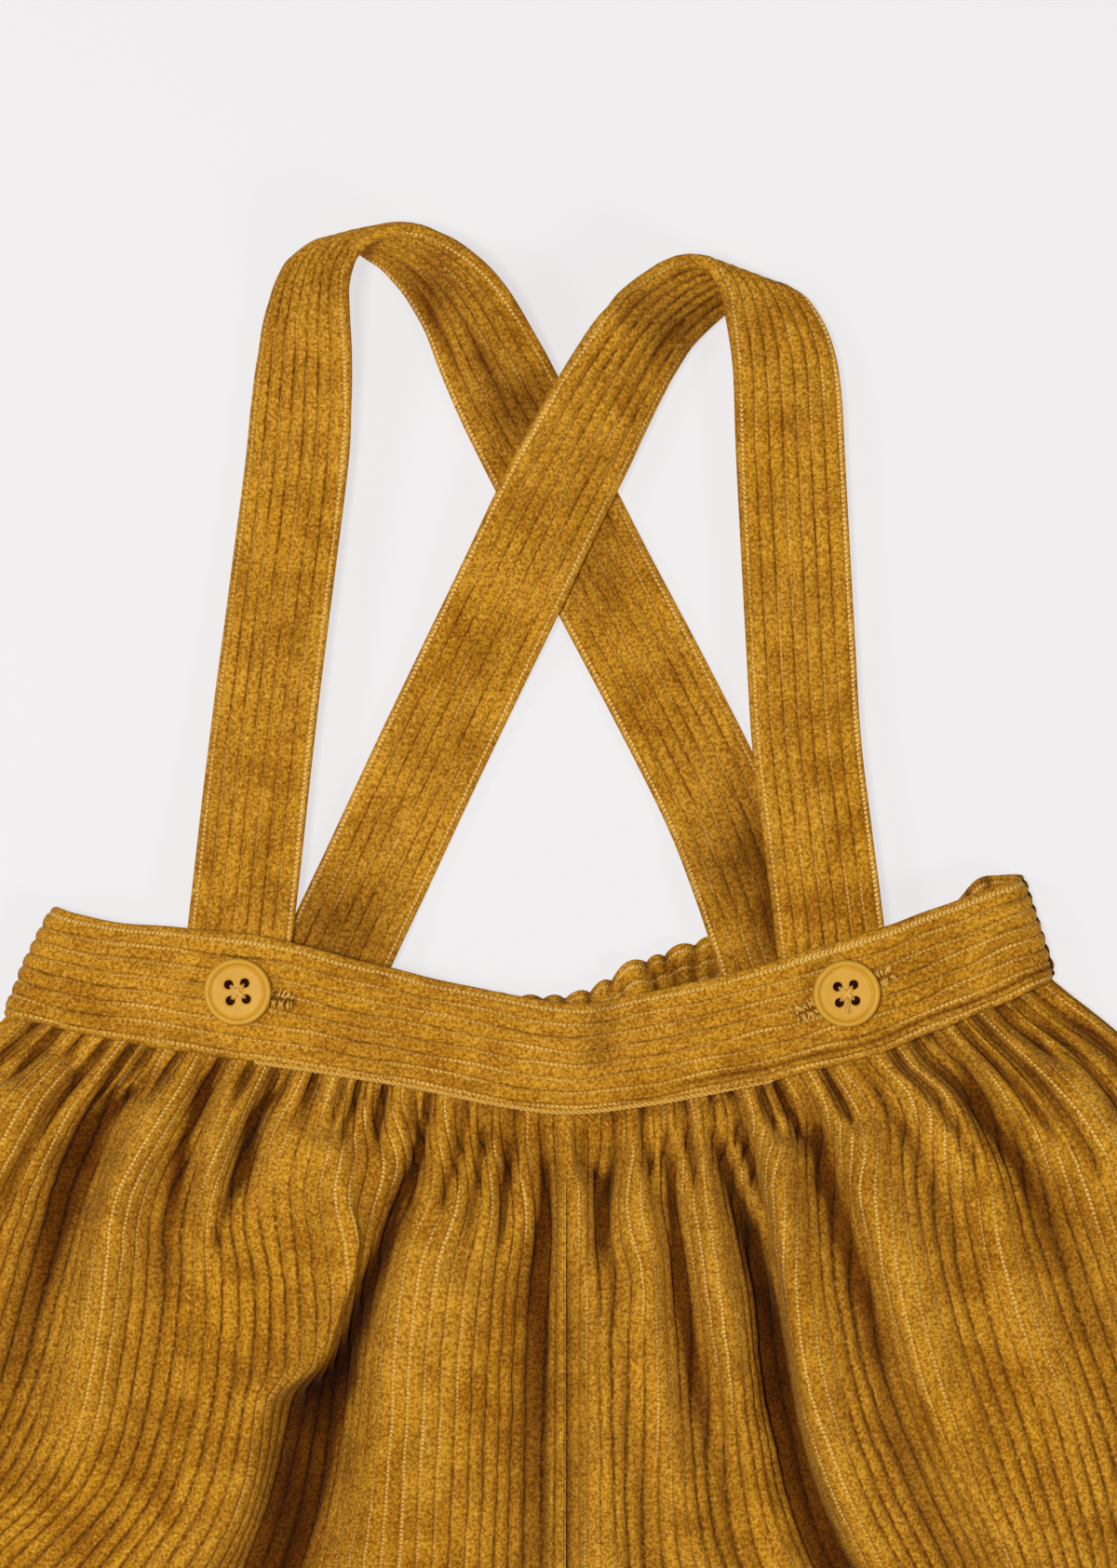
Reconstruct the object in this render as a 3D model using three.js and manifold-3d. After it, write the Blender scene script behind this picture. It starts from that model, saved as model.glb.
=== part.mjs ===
// Baby romper in wide-wale corduroy, laid flat on its back.
// Millimetres. +X is the left hand of a wearer lying on the back, +Y runs from the legs to the
// straps, +Z points up from the surface the romper lies on.
//
// Every piece of cloth is a wall of its own: a net of points on the middle of the cloth, moved out
// by half the cloth's thickness on both sides and closed round its edges.

import * as THREE from 'three';
import Module from 'manifold-3d';
import { mergeVertices } from 'three/addons/utils/BufferGeometryUtils.js';

// ---------------------------------------------------------------- driving dimensions

const CLOTH = 1.6; // one layer of corduroy
const HEM_CLOTH = 2.0; // hem: turned up and pressed
const BAND_CLOTH = 3.6; // front waistband: folded double, with its seam inside
const BACK_BAND_CLOTH = 3.2; // back waistband: double cloth over elastic
const STRAP_WIDTH = 24.6;
const STRAP_CLOTH = 3.2; // strap: folded double
const SEAM_GAP = 0.3; // clearance between sewn pieces
const BUTTON_RADIUS = 7.5;
const BUTTON_HEIGHT = 3.0;
const BUTTON_RIM = 1.5; // width of the raised rim
const BUTTON_DISH = 0.6; // depth of the face below the rim
const BUTTON_HOLE_RADIUS = 1.0;
const BUTTON_HOLE_PITCH = 3.6; // side of the square on which the four holes stand
const BUTTON_CLEARANCE = 0.5; // the sewing thread holds the button this far above the cloth

const BACK_Z = CLOTH / 2; // middle of the back panels where they rest
const FRONT_Z = 6.0; // middle of the front panels in the valleys between folds
const SIDE_SEAM_Z = 4.0; // height of the side and inside-leg seams
const SIDE_PUFF = 4.5; // how much higher the front panels stand beside their edges
const SIDE_PUFF_REACH = 26; // how far in from the edge that height fades
const BACK_ROLL = SIDE_SEAM_Z - BACK_Z; // radius of the back panels' upturned edges
const CROTCH_ROW = 0.78; // share of the panel's length from waist seam to crotch
const STRAIGHT_ROW = 0.5; // share of it over which the waist seam's curve straightens
const BAND_LENGTH = 237; // waistband, from side seam to side seam

// Colours. Each piece of corduroy has its own shade, so that neighbours can be told apart.
const CORDUROY = new THREE.Color(0.46, 0.18, 0.012);
const BUTTON_COLOUR = new THREE.Color(0.68, 0.38, 0.07);

// Front waistband, from the side at -X to the side at +X: its lower and upper edges.
const FRONT_BAND = [
  { lowX: -125.5, lowY: 22.6, highX: -113.8, highY: 47.1, z: 9.0 },
  { lowX: -109.2, lowY: 19.2, highX: -101.0, highY: 44.1, z: 10.6 },
  { lowX: -89.2, lowY: 15.8, highX: -83.5, highY: 42.6, z: 12.4 },
  { lowX: -69.2, lowY: 12.6, highX: -65.5, highY: 40.6, z: 12.9 },
  { lowX: -51.0, lowY: 9.9, highX: -48.0, highY: 36.0, z: 12.0 },
  { lowX: -33.1, lowY: 6.9, highX: -30.5, highY: 31.8, z: 10.4 },
  { lowX: -14.2, lowY: 2.9, highX: -12.0, highY: 28.0, z: 9.0 },
  { lowX: 2.0, lowY: 0.9, highX: 4.0, highY: 25.2, z: 8.6 },
  { lowX: 21.0, lowY: 3.0, highX: 20.0, highY: 28.0, z: 9.6 },
  { lowX: 37.7, lowY: 6.2, highX: 36.0, highY: 31.8, z: 11.6 },
  { lowX: 52.1, lowY: 9.2, highX: 50.0, highY: 35.6, z: 12.9 },
  { lowX: 66.3, lowY: 12.9, highX: 62.5, highY: 39.4, z: 12.9 },
  { lowX: 81.0, lowY: 18.0, highX: 76.0, highY: 44.0, z: 12.2 },
  { lowX: 96.5, lowY: 24.2, highX: 89.5, highY: 48.8, z: 10.8 },
  { lowX: 111.8, lowY: 31.0, highX: 104.2, highY: 54.2, z: 9.0 },
];

// Back waistband, shirred by its elastic: it lies under the front one.
const BACK_BAND = [
  { lowX: -125.5, lowY: 22.6, highX: -114.5, highY: 46.0 },
  { lowX: -100.0, lowY: 15.5, highX: -93.0, highY: 39.5 },
  { lowX: -66.0, lowY: 9.0, highX: -62.0, highY: 33.0 },
  { lowX: -33.0, lowY: 4.6, highX: -31.0, highY: 27.6 },
  { lowX: 0.0, lowY: 3.6, highX: 0.0, highY: 26.6 },
  { lowX: 24.0, lowY: 10.2, highX: 20.0, highY: 35.0 },
  { lowX: 48.0, lowY: 17.0, highX: 44.0, highY: 42.4 },
  { lowX: 66.0, lowY: 19.0, highX: 61.0, highY: 43.4 },
  { lowX: 82.0, lowY: 20.5, highX: 77.0, highY: 44.0 },
  { lowX: 97.0, lowY: 24.5, highX: 89.5, highY: 48.2 },
  { lowX: 111.8, lowY: 31.6, highX: 104.0, highY: 55.6 },
];

// Outline of the +X half of the body, from the waist seam (row 0) to the hem (row 1).
// sideX, sideY: the side seam. innerX, innerY: the centre seam, then the inside leg.
const RIGHT_HALF = [
  { row: 0.0, sideX: 111.8, sideY: 29.9, innerX: 1.5, innerY: 0.0 },
  { row: 0.12, sideX: 132.0, sideY: 12.5, innerX: 1.5, innerY: -25 },
  { row: 0.25, sideX: 149.0, sideY: -14, innerX: 1.5, innerY: -52 },
  { row: 0.4, sideX: 163.0, sideY: -51, innerX: 1.5, innerY: -84 },
  { row: 0.55, sideX: 172.0, sideY: -92, innerX: 1.5, innerY: -116 },
  { row: 0.7, sideX: 174.0, sideY: -131, innerX: 1.5, innerY: -148 },
  { row: 0.78, sideX: 172.0, sideY: -150, innerX: 1.5, innerY: -165 },
  { row: 0.88, sideX: 165.0, sideY: -171, innerX: 14.0, innerY: -189 },
  { row: 1.0, sideX: 152.0, sideY: -191, innerX: 33.0, innerY: -214 },
];

// The -X half, a little wider at the waist.
const LEFT_HALF = [
  { row: 0.0, sideX: -125.5, sideY: 21.6, innerX: 1.5, innerY: 0.0 },
  { row: 0.12, sideX: -142.0, sideY: 5.5, innerX: 1.5, innerY: -25 },
  { row: 0.25, sideX: -155.0, sideY: -18, innerX: 1.5, innerY: -52 },
  { row: 0.4, sideX: -167.0, sideY: -54, innerX: 1.5, innerY: -84 },
  { row: 0.55, sideX: -174.0, sideY: -93, innerX: 1.5, innerY: -116 },
  { row: 0.7, sideX: -175.0, sideY: -131, innerX: 1.5, innerY: -148 },
  { row: 0.78, sideX: -173.0, sideY: -150, innerX: 1.5, innerY: -165 },
  { row: 0.88, sideX: -165.0, sideY: -171, innerX: -11.0, innerY: -189 },
  { row: 1.0, sideX: -152.0, sideY: -192, innerX: -30.0, innerY: -214 },
];

// Folds of the front panels. at0..at3: share of the way from the centre (or inside leg) to the
// side where the fold's crest lies at the waist seam, one third down, two thirds down and at the
// hem; up0..up3: its height there; wide: its half width.
const FRONT_RIGHT_FOLDS = [
  // beside centre
  { at0: 0.08, at1: 0.1, at2: 0.09, at3: 0.12, up0: 2.0, up1: 7.0, up2: 6.0, up3: 2.5, wide: 7.0 },
  // second
  { at0: 0.25, at1: 0.25, at2: 0.24, at3: 0.3, up0: 2.5, up1: 9.0, up2: 9.5, up3: 3.0, wide: 8.0 },
  // past deep valley
  { at0: 0.43, at1: 0.43, at2: 0.43, at3: 0.47, up0: 2.5, up1: 10.0, up2: 11.0, up3: 3.0, wide: 10.0 },
  // long ridge
  { at0: 0.64, at1: 0.65, at2: 0.64, at3: 0.64, up0: 2.5, up1: 8.0, up2: 8.0, up3: 2.5, wide: 11.0 },
  // beside side seam
  { at0: 0.86, at1: 0.86, at2: 0.84, at3: 0.83, up0: 1.5, up1: 5.0, up2: 5.0, up3: 2.0, wide: 10.0 },
];

const FRONT_LEFT_FOLDS = [
  // beside centre
  { at0: 0.12, at1: 0.13, at2: 0.13, at3: 0.16, up0: 2.5, up1: 8.5, up2: 9.0, up3: 3.0, wide: 10.0 },
  // over the pocket
  { at0: 0.38, at1: 0.42, at2: 0.42, at3: 0.42, up0: 2.5, up1: 9.5, up2: 12.0, up3: 3.0, wide: 10.0 },
  // third
  { at0: 0.58, at1: 0.6, at2: 0.62, at3: 0.62, up0: 2.5, up1: 7.0, up2: 7.0, up3: 2.5, wide: 9.0 },
  // beside side seam
  { at0: 0.84, at1: 0.84, at2: 0.83, at3: 0.82, up0: 1.5, up1: 6.0, up2: 5.5, up3: 2.0, wide: 10.0 },
];

// Folds of the back panels, hollow underneath. They end before the waist seam and the hem.
const BACK_FOLDS = [
  // inner
  { at0: 0.16, at1: 0.17, at2: 0.18, at3: 0.2, up0: 1.0, up1: 2.0, up2: 1.6, up3: 0.6, wide: 7.0 },
  // middle
  { at0: 0.45, at1: 0.46, at2: 0.47, at3: 0.48, up0: 1.0, up1: 2.4, up2: 2.0, up3: 0.6, wide: 8.0 },
  // outer
  { at0: 0.74, at1: 0.75, at2: 0.76, at3: 0.76, up0: 1.0, up1: 2.0, up2: 1.6, up3: 0.6, wide: 7.0 },
];

// Straps, from the end behind the front waistband, over the loop at the shoulder and down to the
// end on the inside of the back waistband. The inner edge of the front run stands up in the loop
// and becomes the upper edge of the back run; the outer edge turns lower down.
const LEFT_STRAP = [
  { innerX: -62.2, innerY: 20.6, innerZ: 9.2, outerX: -86.6, outerY: 17.6, outerZ: 8.6 },
  { innerX: -59.6, innerY: 42.0, innerZ: 9.0, outerX: -83.4, outerY: 38.6, outerZ: 8.2 },
  { innerX: -55.6, innerY: 82.0, innerZ: 8.2, outerX: -78.6, outerY: 79.0, outerZ: 5.0 },
  { innerX: -52.6, innerY: 107.0, innerZ: 8.6, outerX: -75.4, outerY: 104.4, outerZ: 4.0 },
  { innerX: -48.0, innerY: 141.5, innerZ: 9.6, outerX: -71.0, outerY: 140.0, outerZ: 3.2 },
  { innerX: -46.4, innerY: 158.0, innerZ: 11.6, outerX: -69.4, outerY: 157.0, outerZ: 3.0 },
  { innerX: -46.5, innerY: 170.0, innerZ: 15.0, outerX: -67.4, outerY: 170.6, outerZ: 2.8 },
  { innerX: -47.2, innerY: 180.2, innerZ: 18.6, outerX: -64.8, outerY: 182.6, outerZ: 2.6 },
  { innerX: -46.6, innerY: 188.4, innerZ: 21.4, outerX: -61.6, outerY: 190.6, outerZ: 2.4 },
  { innerX: -43.4, innerY: 194.0, innerZ: 22.6, outerX: -57.4, outerY: 194.6, outerZ: 2.2 },
  { innerX: -38.8, innerY: 197.0, innerZ: 22.9, outerX: -52.6, outerY: 196.0, outerZ: 2.1 },
  { innerX: -33.6, innerY: 198.2, innerZ: 22.6, outerX: -47.6, outerY: 195.6, outerZ: 2.0 },
  { innerX: -28.0, innerY: 197.2, innerZ: 21.6, outerX: -43.2, outerY: 193.4, outerZ: 2.0 },
  { innerX: -20.4, innerY: 193.2, innerZ: 19.4, outerX: -36.8, outerY: 188.0, outerZ: 2.0 },
  { innerX: -13.0, innerY: 186.4, innerZ: 16.4, outerX: -30.4, outerY: 178.2, outerZ: 1.9 },
  { innerX: -5.2, innerY: 174.6, innerZ: 10.6, outerX: -25.2, outerY: 164.6, outerZ: 1.8 },
  { innerX: 0.6, innerY: 164.0, innerZ: 6.4, outerX: -20.4, outerY: 154.2, outerZ: 1.8 },
  { innerX: 7.6, innerY: 151.2, innerZ: 2.6, outerX: -14.2, outerY: 141.2, outerZ: 1.8 },
  { innerX: 19.4, innerY: 128.4, innerZ: 1.8, outerX: -2.4, outerY: 117.4, outerZ: 1.8 },
  { innerX: 34.6, innerY: 99.6, innerZ: 1.8, outerX: 12.8, outerY: 88.6, outerZ: 1.8 },
  { innerX: 46.4, innerY: 76.0, innerZ: 1.9, outerX: 24.0, outerY: 66.2, outerZ: 1.9 },
  { innerX: 53.2, innerY: 58.6, innerZ: 5.0, outerX: 30.2, outerY: 50.6, outerZ: 5.0 },
  { innerX: 58.2, innerY: 44.0, innerZ: 5.5, outerX: 34.8, outerY: 36.6, outerZ: 5.5 },
  { innerX: 62.0, innerY: 32.0, innerZ: 5.4, outerX: 38.6, outerY: 24.6, outerZ: 5.4 },
];

const RIGHT_STRAP = [
  { innerX: 50.4, innerY: 19.6, innerZ: 9.1, outerX: 74.8, outerY: 23.6, outerZ: 8.8 },
  { innerX: 48.8, innerY: 38.0, innerZ: 9.1, outerX: 73.2, outerY: 41.6, outerZ: 8.7 },
  { innerX: 45.8, innerY: 62.0, innerZ: 8.9, outerX: 70.4, outerY: 64.6, outerZ: 7.6 },
  { innerX: 43.4, innerY: 83.0, innerZ: 7.4, outerX: 68.0, outerY: 84.6, outerZ: 6.6 },
  { innerX: 42.1, innerY: 104.0, innerZ: 6.4, outerX: 66.8, outerY: 105.0, outerZ: 6.0 },
  { innerX: 40.0, innerY: 144.6, innerZ: 6.6, outerX: 64.6, outerY: 144.4, outerZ: 5.8 },
  { innerX: 39.0, innerY: 165.8, innerZ: 8.8, outerX: 63.6, outerY: 163.6, outerZ: 5.4 },
  { innerX: 37.8, innerY: 175.2, innerZ: 12.6, outerX: 61.6, outerY: 174.2, outerZ: 4.6 },
  { innerX: 36.6, innerY: 183.2, innerZ: 18.2, outerX: 56.4, outerY: 182.8, outerZ: 3.6 },
  { innerX: 34.4, innerY: 188.0, innerZ: 20.6, outerX: 51.8, outerY: 185.4, outerZ: 3.2 },
  { innerX: 31.4, innerY: 190.8, innerZ: 21.2, outerX: 47.8, outerY: 185.4, outerZ: 3.0 },
  { innerX: 27.8, innerY: 191.8, innerZ: 20.9, outerX: 44.6, outerY: 184.8, outerZ: 3.0 },
  { innerX: 23.8, innerY: 190.8, innerZ: 20.2, outerX: 41.2, outerY: 182.9, outerZ: 3.0 },
  { innerX: 18.6, innerY: 188.0, innerZ: 19.0, outerX: 36.6, outerY: 179.4, outerZ: 3.0 },
  { innerX: 12.2, innerY: 182.8, innerZ: 17.8, outerX: 30.4, outerY: 173.4, outerZ: 3.4 },
  { innerX: 6.9, innerY: 175.4, innerZ: 16.6, outerX: 25.2, outerY: 165.8, outerZ: 4.0 },
  { innerX: 0.6, innerY: 165.8, innerZ: 14.4, outerX: 20.0, outerY: 155.6, outerZ: 4.8 },
  { innerX: -4.8, innerY: 157.0, innerZ: 12.0, outerX: 16.0, outerY: 146.2, outerZ: 5.2 },
  { innerX: -13.0, innerY: 142.4, innerZ: 8.6, outerX: 8.8, outerY: 131.2, outerZ: 5.4 },
  { innerX: -21.6, innerY: 124.4, innerZ: 5.2, outerX: 0.6, outerY: 113.8, outerZ: 5.5 },
  { innerX: -31.4, innerY: 104.2, innerZ: 2.2, outerX: -9.4, outerY: 93.4, outerZ: 2.2 },
  { innerX: -42.0, innerY: 82.4, innerZ: 1.8, outerX: -19.6, outerY: 71.8, outerZ: 1.8 },
  { innerX: -52.0, innerY: 60.6, innerZ: 1.9, outerX: -29.8, outerY: 50.2, outerZ: 1.9 },
  { innerX: -58.6, innerY: 46.4, innerZ: 4.9, outerX: -36.4, outerY: 36.2, outerZ: 4.9 },
  { innerX: -64.2, innerY: 33.8, innerZ: 5.4, outerX: -42.0, outerY: 23.6, outerZ: 5.4 },
  { innerX: -68.6, innerY: 23.6, innerZ: 5.3, outerX: -46.6, outerY: 13.8, outerZ: 5.3 },
];

const BUTTONS = [
  { name: 'button_left', x: -71.5, y: 28.3 },
  { name: 'button_right', x: 64.2, y: 27.9 },
];

// ---------------------------------------------------------------- helpers

// A smooth curve through the rows of a table: column `key` at place t of column `along`. It is
// level wherever the rows turn back, so it never passes beyond them.
function follow(table, along, key, t) {
  const last = table.length - 1;
  let i = 0;
  while (i < last - 1 && t > table[i + 1][along]) {
    i += 1;
  }
  const slopeAt = (k) => {
    const before = table[Math.max(k - 1, 0)];
    const after = table[Math.min(k + 1, last)];
    const turns = (table[k][key] - before[key]) * (after[key] - table[k][key]) <= 0;
    const isEnd = k === 0 || k === last;
    return turns && !isEnd ? 0 : (after[key] - before[key]) / (after[along] - before[along]);
  };
  const start = table[i];
  const end = table[i + 1];
  const span = end[along] - start[along];
  const f = (t - start[along]) / span;
  const g = 1 - f;
  const fromStart = start[key] * (1 + 2 * f) * g * g + slopeAt(i) * span * f * g * g;
  const fromEnd = end[key] * (3 - 2 * f) * f * f - slopeAt(i + 1) * span * f * f * g;
  return fromStart + fromEnd;
}

// The same table with its rows numbered evenly from 0 to 1 in a column `share`.
function spaced(table) {
  return table.map((row, i) => ({ ...row, share: i / (table.length - 1) }));
}

// How a wall stands at the two ends of a row of its net: `joined` where it meets its twin at a
// flat seam, so that its edge is square to X, and `rolled` where it has turned down to a seam.
const FREE = 'free';
const JOINED = 'joined';
const ROLLED = 'rolled';

// The point that would follow `edge` if the row went on: it gives the edge its true direction.
function beyond(edge, before, kind) {
  if (kind === JOINED) {
    return new THREE.Vector3(2 * edge.x - before.x, before.y, before.z);
  }
  if (kind === ROLLED) {
    return new THREE.Vector3(before.x, before.y, 2 * edge.z - before.z);
  }
  return edge;
}

// A closed wall of cloth round a net of points on the cloth's middle.
// thickness(i, j) gives the wall's thickness at each point of the net, and ends(i) how the wall
// stands at the start and the end of row i.
function clothWall(net, thickness, ends = () => [FREE, FREE]) {
  const rows = net.length;
  const columns = net[0].length;
  const positions = [];
  const at = (i, j) => {
    const row = net[THREE.MathUtils.clamp(i, 0, rows - 1)];
    if (j < 0) {
      return beyond(row[0], row[1], ends(i)[0]);
    }
    if (j >= columns) {
      return beyond(row[columns - 1], row[columns - 2], ends(i)[1]);
    }
    return row[j];
  };
  for (const side of [1, -1]) {
    for (let i = 0; i < rows; i += 1) {
      for (let j = 0; j < columns; j += 1) {
        const across = new THREE.Vector3().subVectors(at(i, j + 1), at(i, j - 1));
        const along = new THREE.Vector3().subVectors(at(i + 1, j), at(i - 1, j));
        const outward = new THREE.Vector3().crossVectors(along, across).normalize();
        const point = net[i][j].clone().addScaledVector(outward, (side * thickness(i, j)) / 2);
        positions.push(point.x, point.y, point.z);
      }
    }
  }
  const index = [];
  const layer = rows * columns;
  const quad = (a, b, c, d) => index.push(a, b, c, a, c, d);
  for (let i = 0; i < rows - 1; i += 1) {
    for (let j = 0; j < columns - 1; j += 1) {
      const a = i * columns + j;
      const b = a + columns;
      quad(a, b, b + 1, a + 1);
      quad(layer + a, layer + a + 1, layer + b + 1, layer + b);
    }
  }
  for (let j = 0; j < columns - 1; j += 1) {
    const bottom = (rows - 1) * columns + j;
    quad(j, j + 1, layer + j + 1, layer + j);
    quad(bottom + 1, bottom, layer + bottom, layer + bottom + 1);
  }
  for (let i = 0; i < rows - 1; i += 1) {
    const start = i * columns;
    const end = start + columns - 1;
    quad(start + columns, start, layer + start, layer + start + columns);
    quad(end, end + columns, layer + end + columns, layer + end);
  }
  const geometry = new THREE.BufferGeometry();
  geometry.setAttribute('position', new THREE.Float32BufferAttribute(positions, 3));
  geometry.setIndex(index);
  geometry.computeVertexNormals();
  return geometry;
}

function piece(name, geometry, material) {
  const mesh = new THREE.Mesh(geometry, material);
  mesh.name = name;
  return mesh;
}

function corduroy(shade) {
  const color = CORDUROY.clone().multiplyScalar(shade);
  return new THREE.MeshStandardMaterial({ color, roughness: 0.95, metalness: 0 });
}

// ---------------------------------------------------------------- waistbands

const frontBandRows = spaced(FRONT_BAND);
const backBandRows = spaced(BACK_BAND).map((row) => ({ ...row, z: BACK_BAND_CLOTH / 2 }));
const BAND_COLUMNS = 44;
const BAND_END = 0.035; // share of a waistband's length in each rounded end
const BAND_NET_ROWS = 4;
const HALVINGS = 24;

// Middle of a waistband at a share of its length and of its height.
function bandPoint(rows, share, height) {
  const between = (low, high) =>
    THREE.MathUtils.lerp(follow(rows, 'share', low, share), follow(rows, 'share', high, share), height);
  const x = between('lowX', 'highX');
  const y = between('lowY', 'highY');
  return new THREE.Vector3(x, y, follow(rows, 'share', 'z', share));
}

// A waistband. Its ends roll down to the side seams: distance past the flat becomes an arc.
function waistband(rows, seamZ, wall) {
  const inset = wall / 2 / BAND_LENGTH;
  const net = [];
  for (let i = 0; i < BAND_NET_ROWS; i += 1) {
    const height = 1 - i / (BAND_NET_ROWS - 1);
    const line = [];
    for (let j = 0; j <= BAND_COLUMNS; j += 1) {
      const share = j / BAND_COLUMNS;
      const side = share < 0.5 ? 0 : 1;
      const inward = share < 0.5 ? 1 : -1;
      const distance = Math.abs(side - share) / BAND_END;
      if (distance >= 1) {
        line.push(bandPoint(rows, share, height));
      } else {
        const turn = (1 - distance) * (Math.PI / 2);
        const flatShare = side + inward * BAND_END;
        const placed = THREE.MathUtils.lerp(flatShare, side + inward * inset, Math.sin(turn));
        const point = bandPoint(rows, placed, height);
        const flatZ = bandPoint(rows, flatShare, height).z;
        point.z = THREE.MathUtils.lerp(seamZ, flatZ, Math.cos(turn));
        line.push(point);
      }
    }
    net.push(line);
  }
  return clothWall(net, () => wall, () => [ROLLED, ROLLED]);
}

// ---------------------------------------------------------------- body panels

const PANEL_ROWS = 14;
const FRONT_COLUMNS = 30;
const BACK_COLUMNS = 18;
const WAIST_BLEND = 0.16; // share of the length over which a panel leaves its waistband's height
const LEG_ROLL_ROWS = 0.08; // share of the length over which the inside-leg edge starts to turn down
const HEM_ROW = 0.955; // the hem is turned up and double below this row
const ROLL_WIDTH = 11; // sideways reach of the front panels' rounded side edges

// How far the rows dip below a straight line between the panel's edges: the waist seam follows
// its waistband, the rows below straighten.
function waistDip(innerX, sideX, share) {
  const x = THREE.MathUtils.lerp(innerX, sideX, share);
  const inner = bandAt(frontBandRows, innerX, 0);
  const side = bandAt(frontBandRows, sideX, 0);
  return bandAt(frontBandRows, x, 0).y - THREE.MathUtils.lerp(inner.y, side.y, share);
}

// The point of a waistband at a given x and share of its height, found by halving.
function bandAt(rows, x, height) {
  let low = 0;
  let high = 1;
  for (let step = 0; step < HALVINGS; step += 1) {
    const middle = (low + high) / 2;
    if (bandPoint(rows, middle, height).x < x) {
      low = middle;
    } else {
      high = middle;
    }
  }
  return bandPoint(rows, (low + high) / 2, height);
}

function foldHeight(folds, share, row, halfWidth) {
  let height = 0;
  for (const fold of folds) {
    const knots = [0, 1, 2, 3].map((k) => ({ row: k / 3, at: fold[`at${k}`], up: fold[`up${k}`] }));
    const crest = follow(knots, 'row', 'at', row);
    const up = follow(knots, 'row', 'up', row);
    const away = ((share - crest) * halfWidth) / fold.wide;
    height += up * Math.exp(-away * away);
  }
  return height;
}

// One body panel. front: 1 for a front panel, -1 for a back panel.
function bodyPanel(outline, folds, columns, front, halfSign) {
  const bandRows = front > 0 ? frontBandRows : backBandRows;
  const wallZ = front > 0 ? FRONT_Z : BACK_Z;
  const seamZ = SIDE_SEAM_Z + (front * SEAM_GAP) / 2;
  const rollX = front > 0 ? ROLL_WIDTH : BACK_ROLL;
  const net = [];
  for (let i = 0; i <= PANEL_ROWS; i += 1) {
    const row = i / PANEL_ROWS;
    const sideX = follow(outline, 'row', 'sideX', row) - (halfSign * CLOTH) / 2;
    const sideY = follow(outline, 'row', 'sideY', row);
    const innerX = follow(outline, 'row', 'innerX', row) + (halfSign * SEAM_GAP) / 2;
    const innerY = follow(outline, 'row', 'innerY', row);
    const halfWidth = Math.abs(sideX - innerX);
    const straightened = THREE.MathUtils.smoothstep(row, 0, STRAIGHT_ROW);
    const legRoll = THREE.MathUtils.smoothstep(row, CROTCH_ROW, CROTCH_ROW + LEG_ROLL_ROWS);
    const line = [];
    for (let j = 0; j <= columns; j += 1) {
      const share = j / columns;
      const fromSide = (1 - share) * halfWidth;
      const fromInner = share * halfWidth;
      const x = THREE.MathUtils.lerp(innerX, sideX, share);
      const waistX = THREE.MathUtils.lerp(outline[0].innerX, outline[0].sideX, share);
      const dip = waistDip(outline[0].innerX, outline[0].sideX, share);
      const bandShift = bandAt(bandRows, waistX, 0).y - bandAt(frontBandRows, waistX, 0).y;
      const y = THREE.MathUtils.lerp(innerY, sideY, share) + (dip + bandShift) * (1 - straightened);
      const bandZ = bandAt(bandRows, waistX, 0).z;
      const leave = THREE.MathUtils.smoothstep(row, 0, WAIST_BLEND);
      const pastRoll = (fromSide - ROLL_WIDTH) / SIDE_PUFF_REACH;
      const puff = front > 0 ? SIDE_PUFF * Math.exp(-(pastRoll ** 2)) : 0;
      const folded = puff + foldHeight(folds, share, row, halfWidth);
      const lying = wallZ + (wallAt(i) - CLOTH) / 2 + folded;
      let z = THREE.MathUtils.lerp(bandZ, lying, leave);
      z = rolled(z, fromSide, rollX, seamZ, 1);
      z = rolled(z, fromInner, rollX, seamZ, legRoll);
      line.push(new THREE.Vector3(x, y, z));
    }
    net.push(halfSign > 0 ? line : line.reverse());
  }
  const ends = (i) => {
    const inner = i / PANEL_ROWS < CROTCH_ROW + LEG_ROLL_ROWS / 2 ? JOINED : ROLLED;
    return halfSign > 0 ? [inner, ROLLED] : [ROLLED, inner];
  };
  return clothWall(net, wallAt, ends);
}

// Thickness of a panel's wall at a row of its net: the turned-up hem is thicker.
function wallAt(i) {
  return i / PANEL_ROWS > HEM_ROW ? HEM_CLOTH : CLOTH;
}

// Height of the cloth where its edge rolls over to a seam, `reach` wide.
function rolled(z, fromEdge, reach, seamZ, amount) {
  if (fromEdge >= reach) {
    return z;
  }
  const f = 1 - fromEdge / reach;
  const round = Math.sqrt(Math.max(0, 1 - f * f));
  return THREE.MathUtils.lerp(z, THREE.MathUtils.lerp(seamZ, z, round), amount);
}

// ---------------------------------------------------------------- straps

const STRAP_STEPS = 60;
const STRAP_NET_COLUMNS = 4;

function strap(table) {
  const rows = spaced(table);
  const net = [];
  for (let i = 0; i <= STRAP_STEPS; i += 1) {
    const share = i / STRAP_STEPS;
    const inner = new THREE.Vector3(
      follow(rows, 'share', 'innerX', share),
      follow(rows, 'share', 'innerY', share),
      follow(rows, 'share', 'innerZ', share),
    );
    const outer = new THREE.Vector3(
      follow(rows, 'share', 'outerX', share),
      follow(rows, 'share', 'outerY', share),
      follow(rows, 'share', 'outerZ', share),
    );
    const middle = inner.clone().lerp(outer, 0.5);
    const half = outer.clone().sub(inner).setLength(STRAP_WIDTH / 2);
    const line = [];
    for (let j = 0; j <= STRAP_NET_COLUMNS; j += 1) {
      line.push(middle.clone().addScaledVector(half, (2 * j) / STRAP_NET_COLUMNS - 1));
    }
    net.push(line);
  }
  return clothWall(net, () => STRAP_CLOTH);
}

// ---------------------------------------------------------------- buttons

const wasm = await Module();
wasm.setup();

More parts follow.
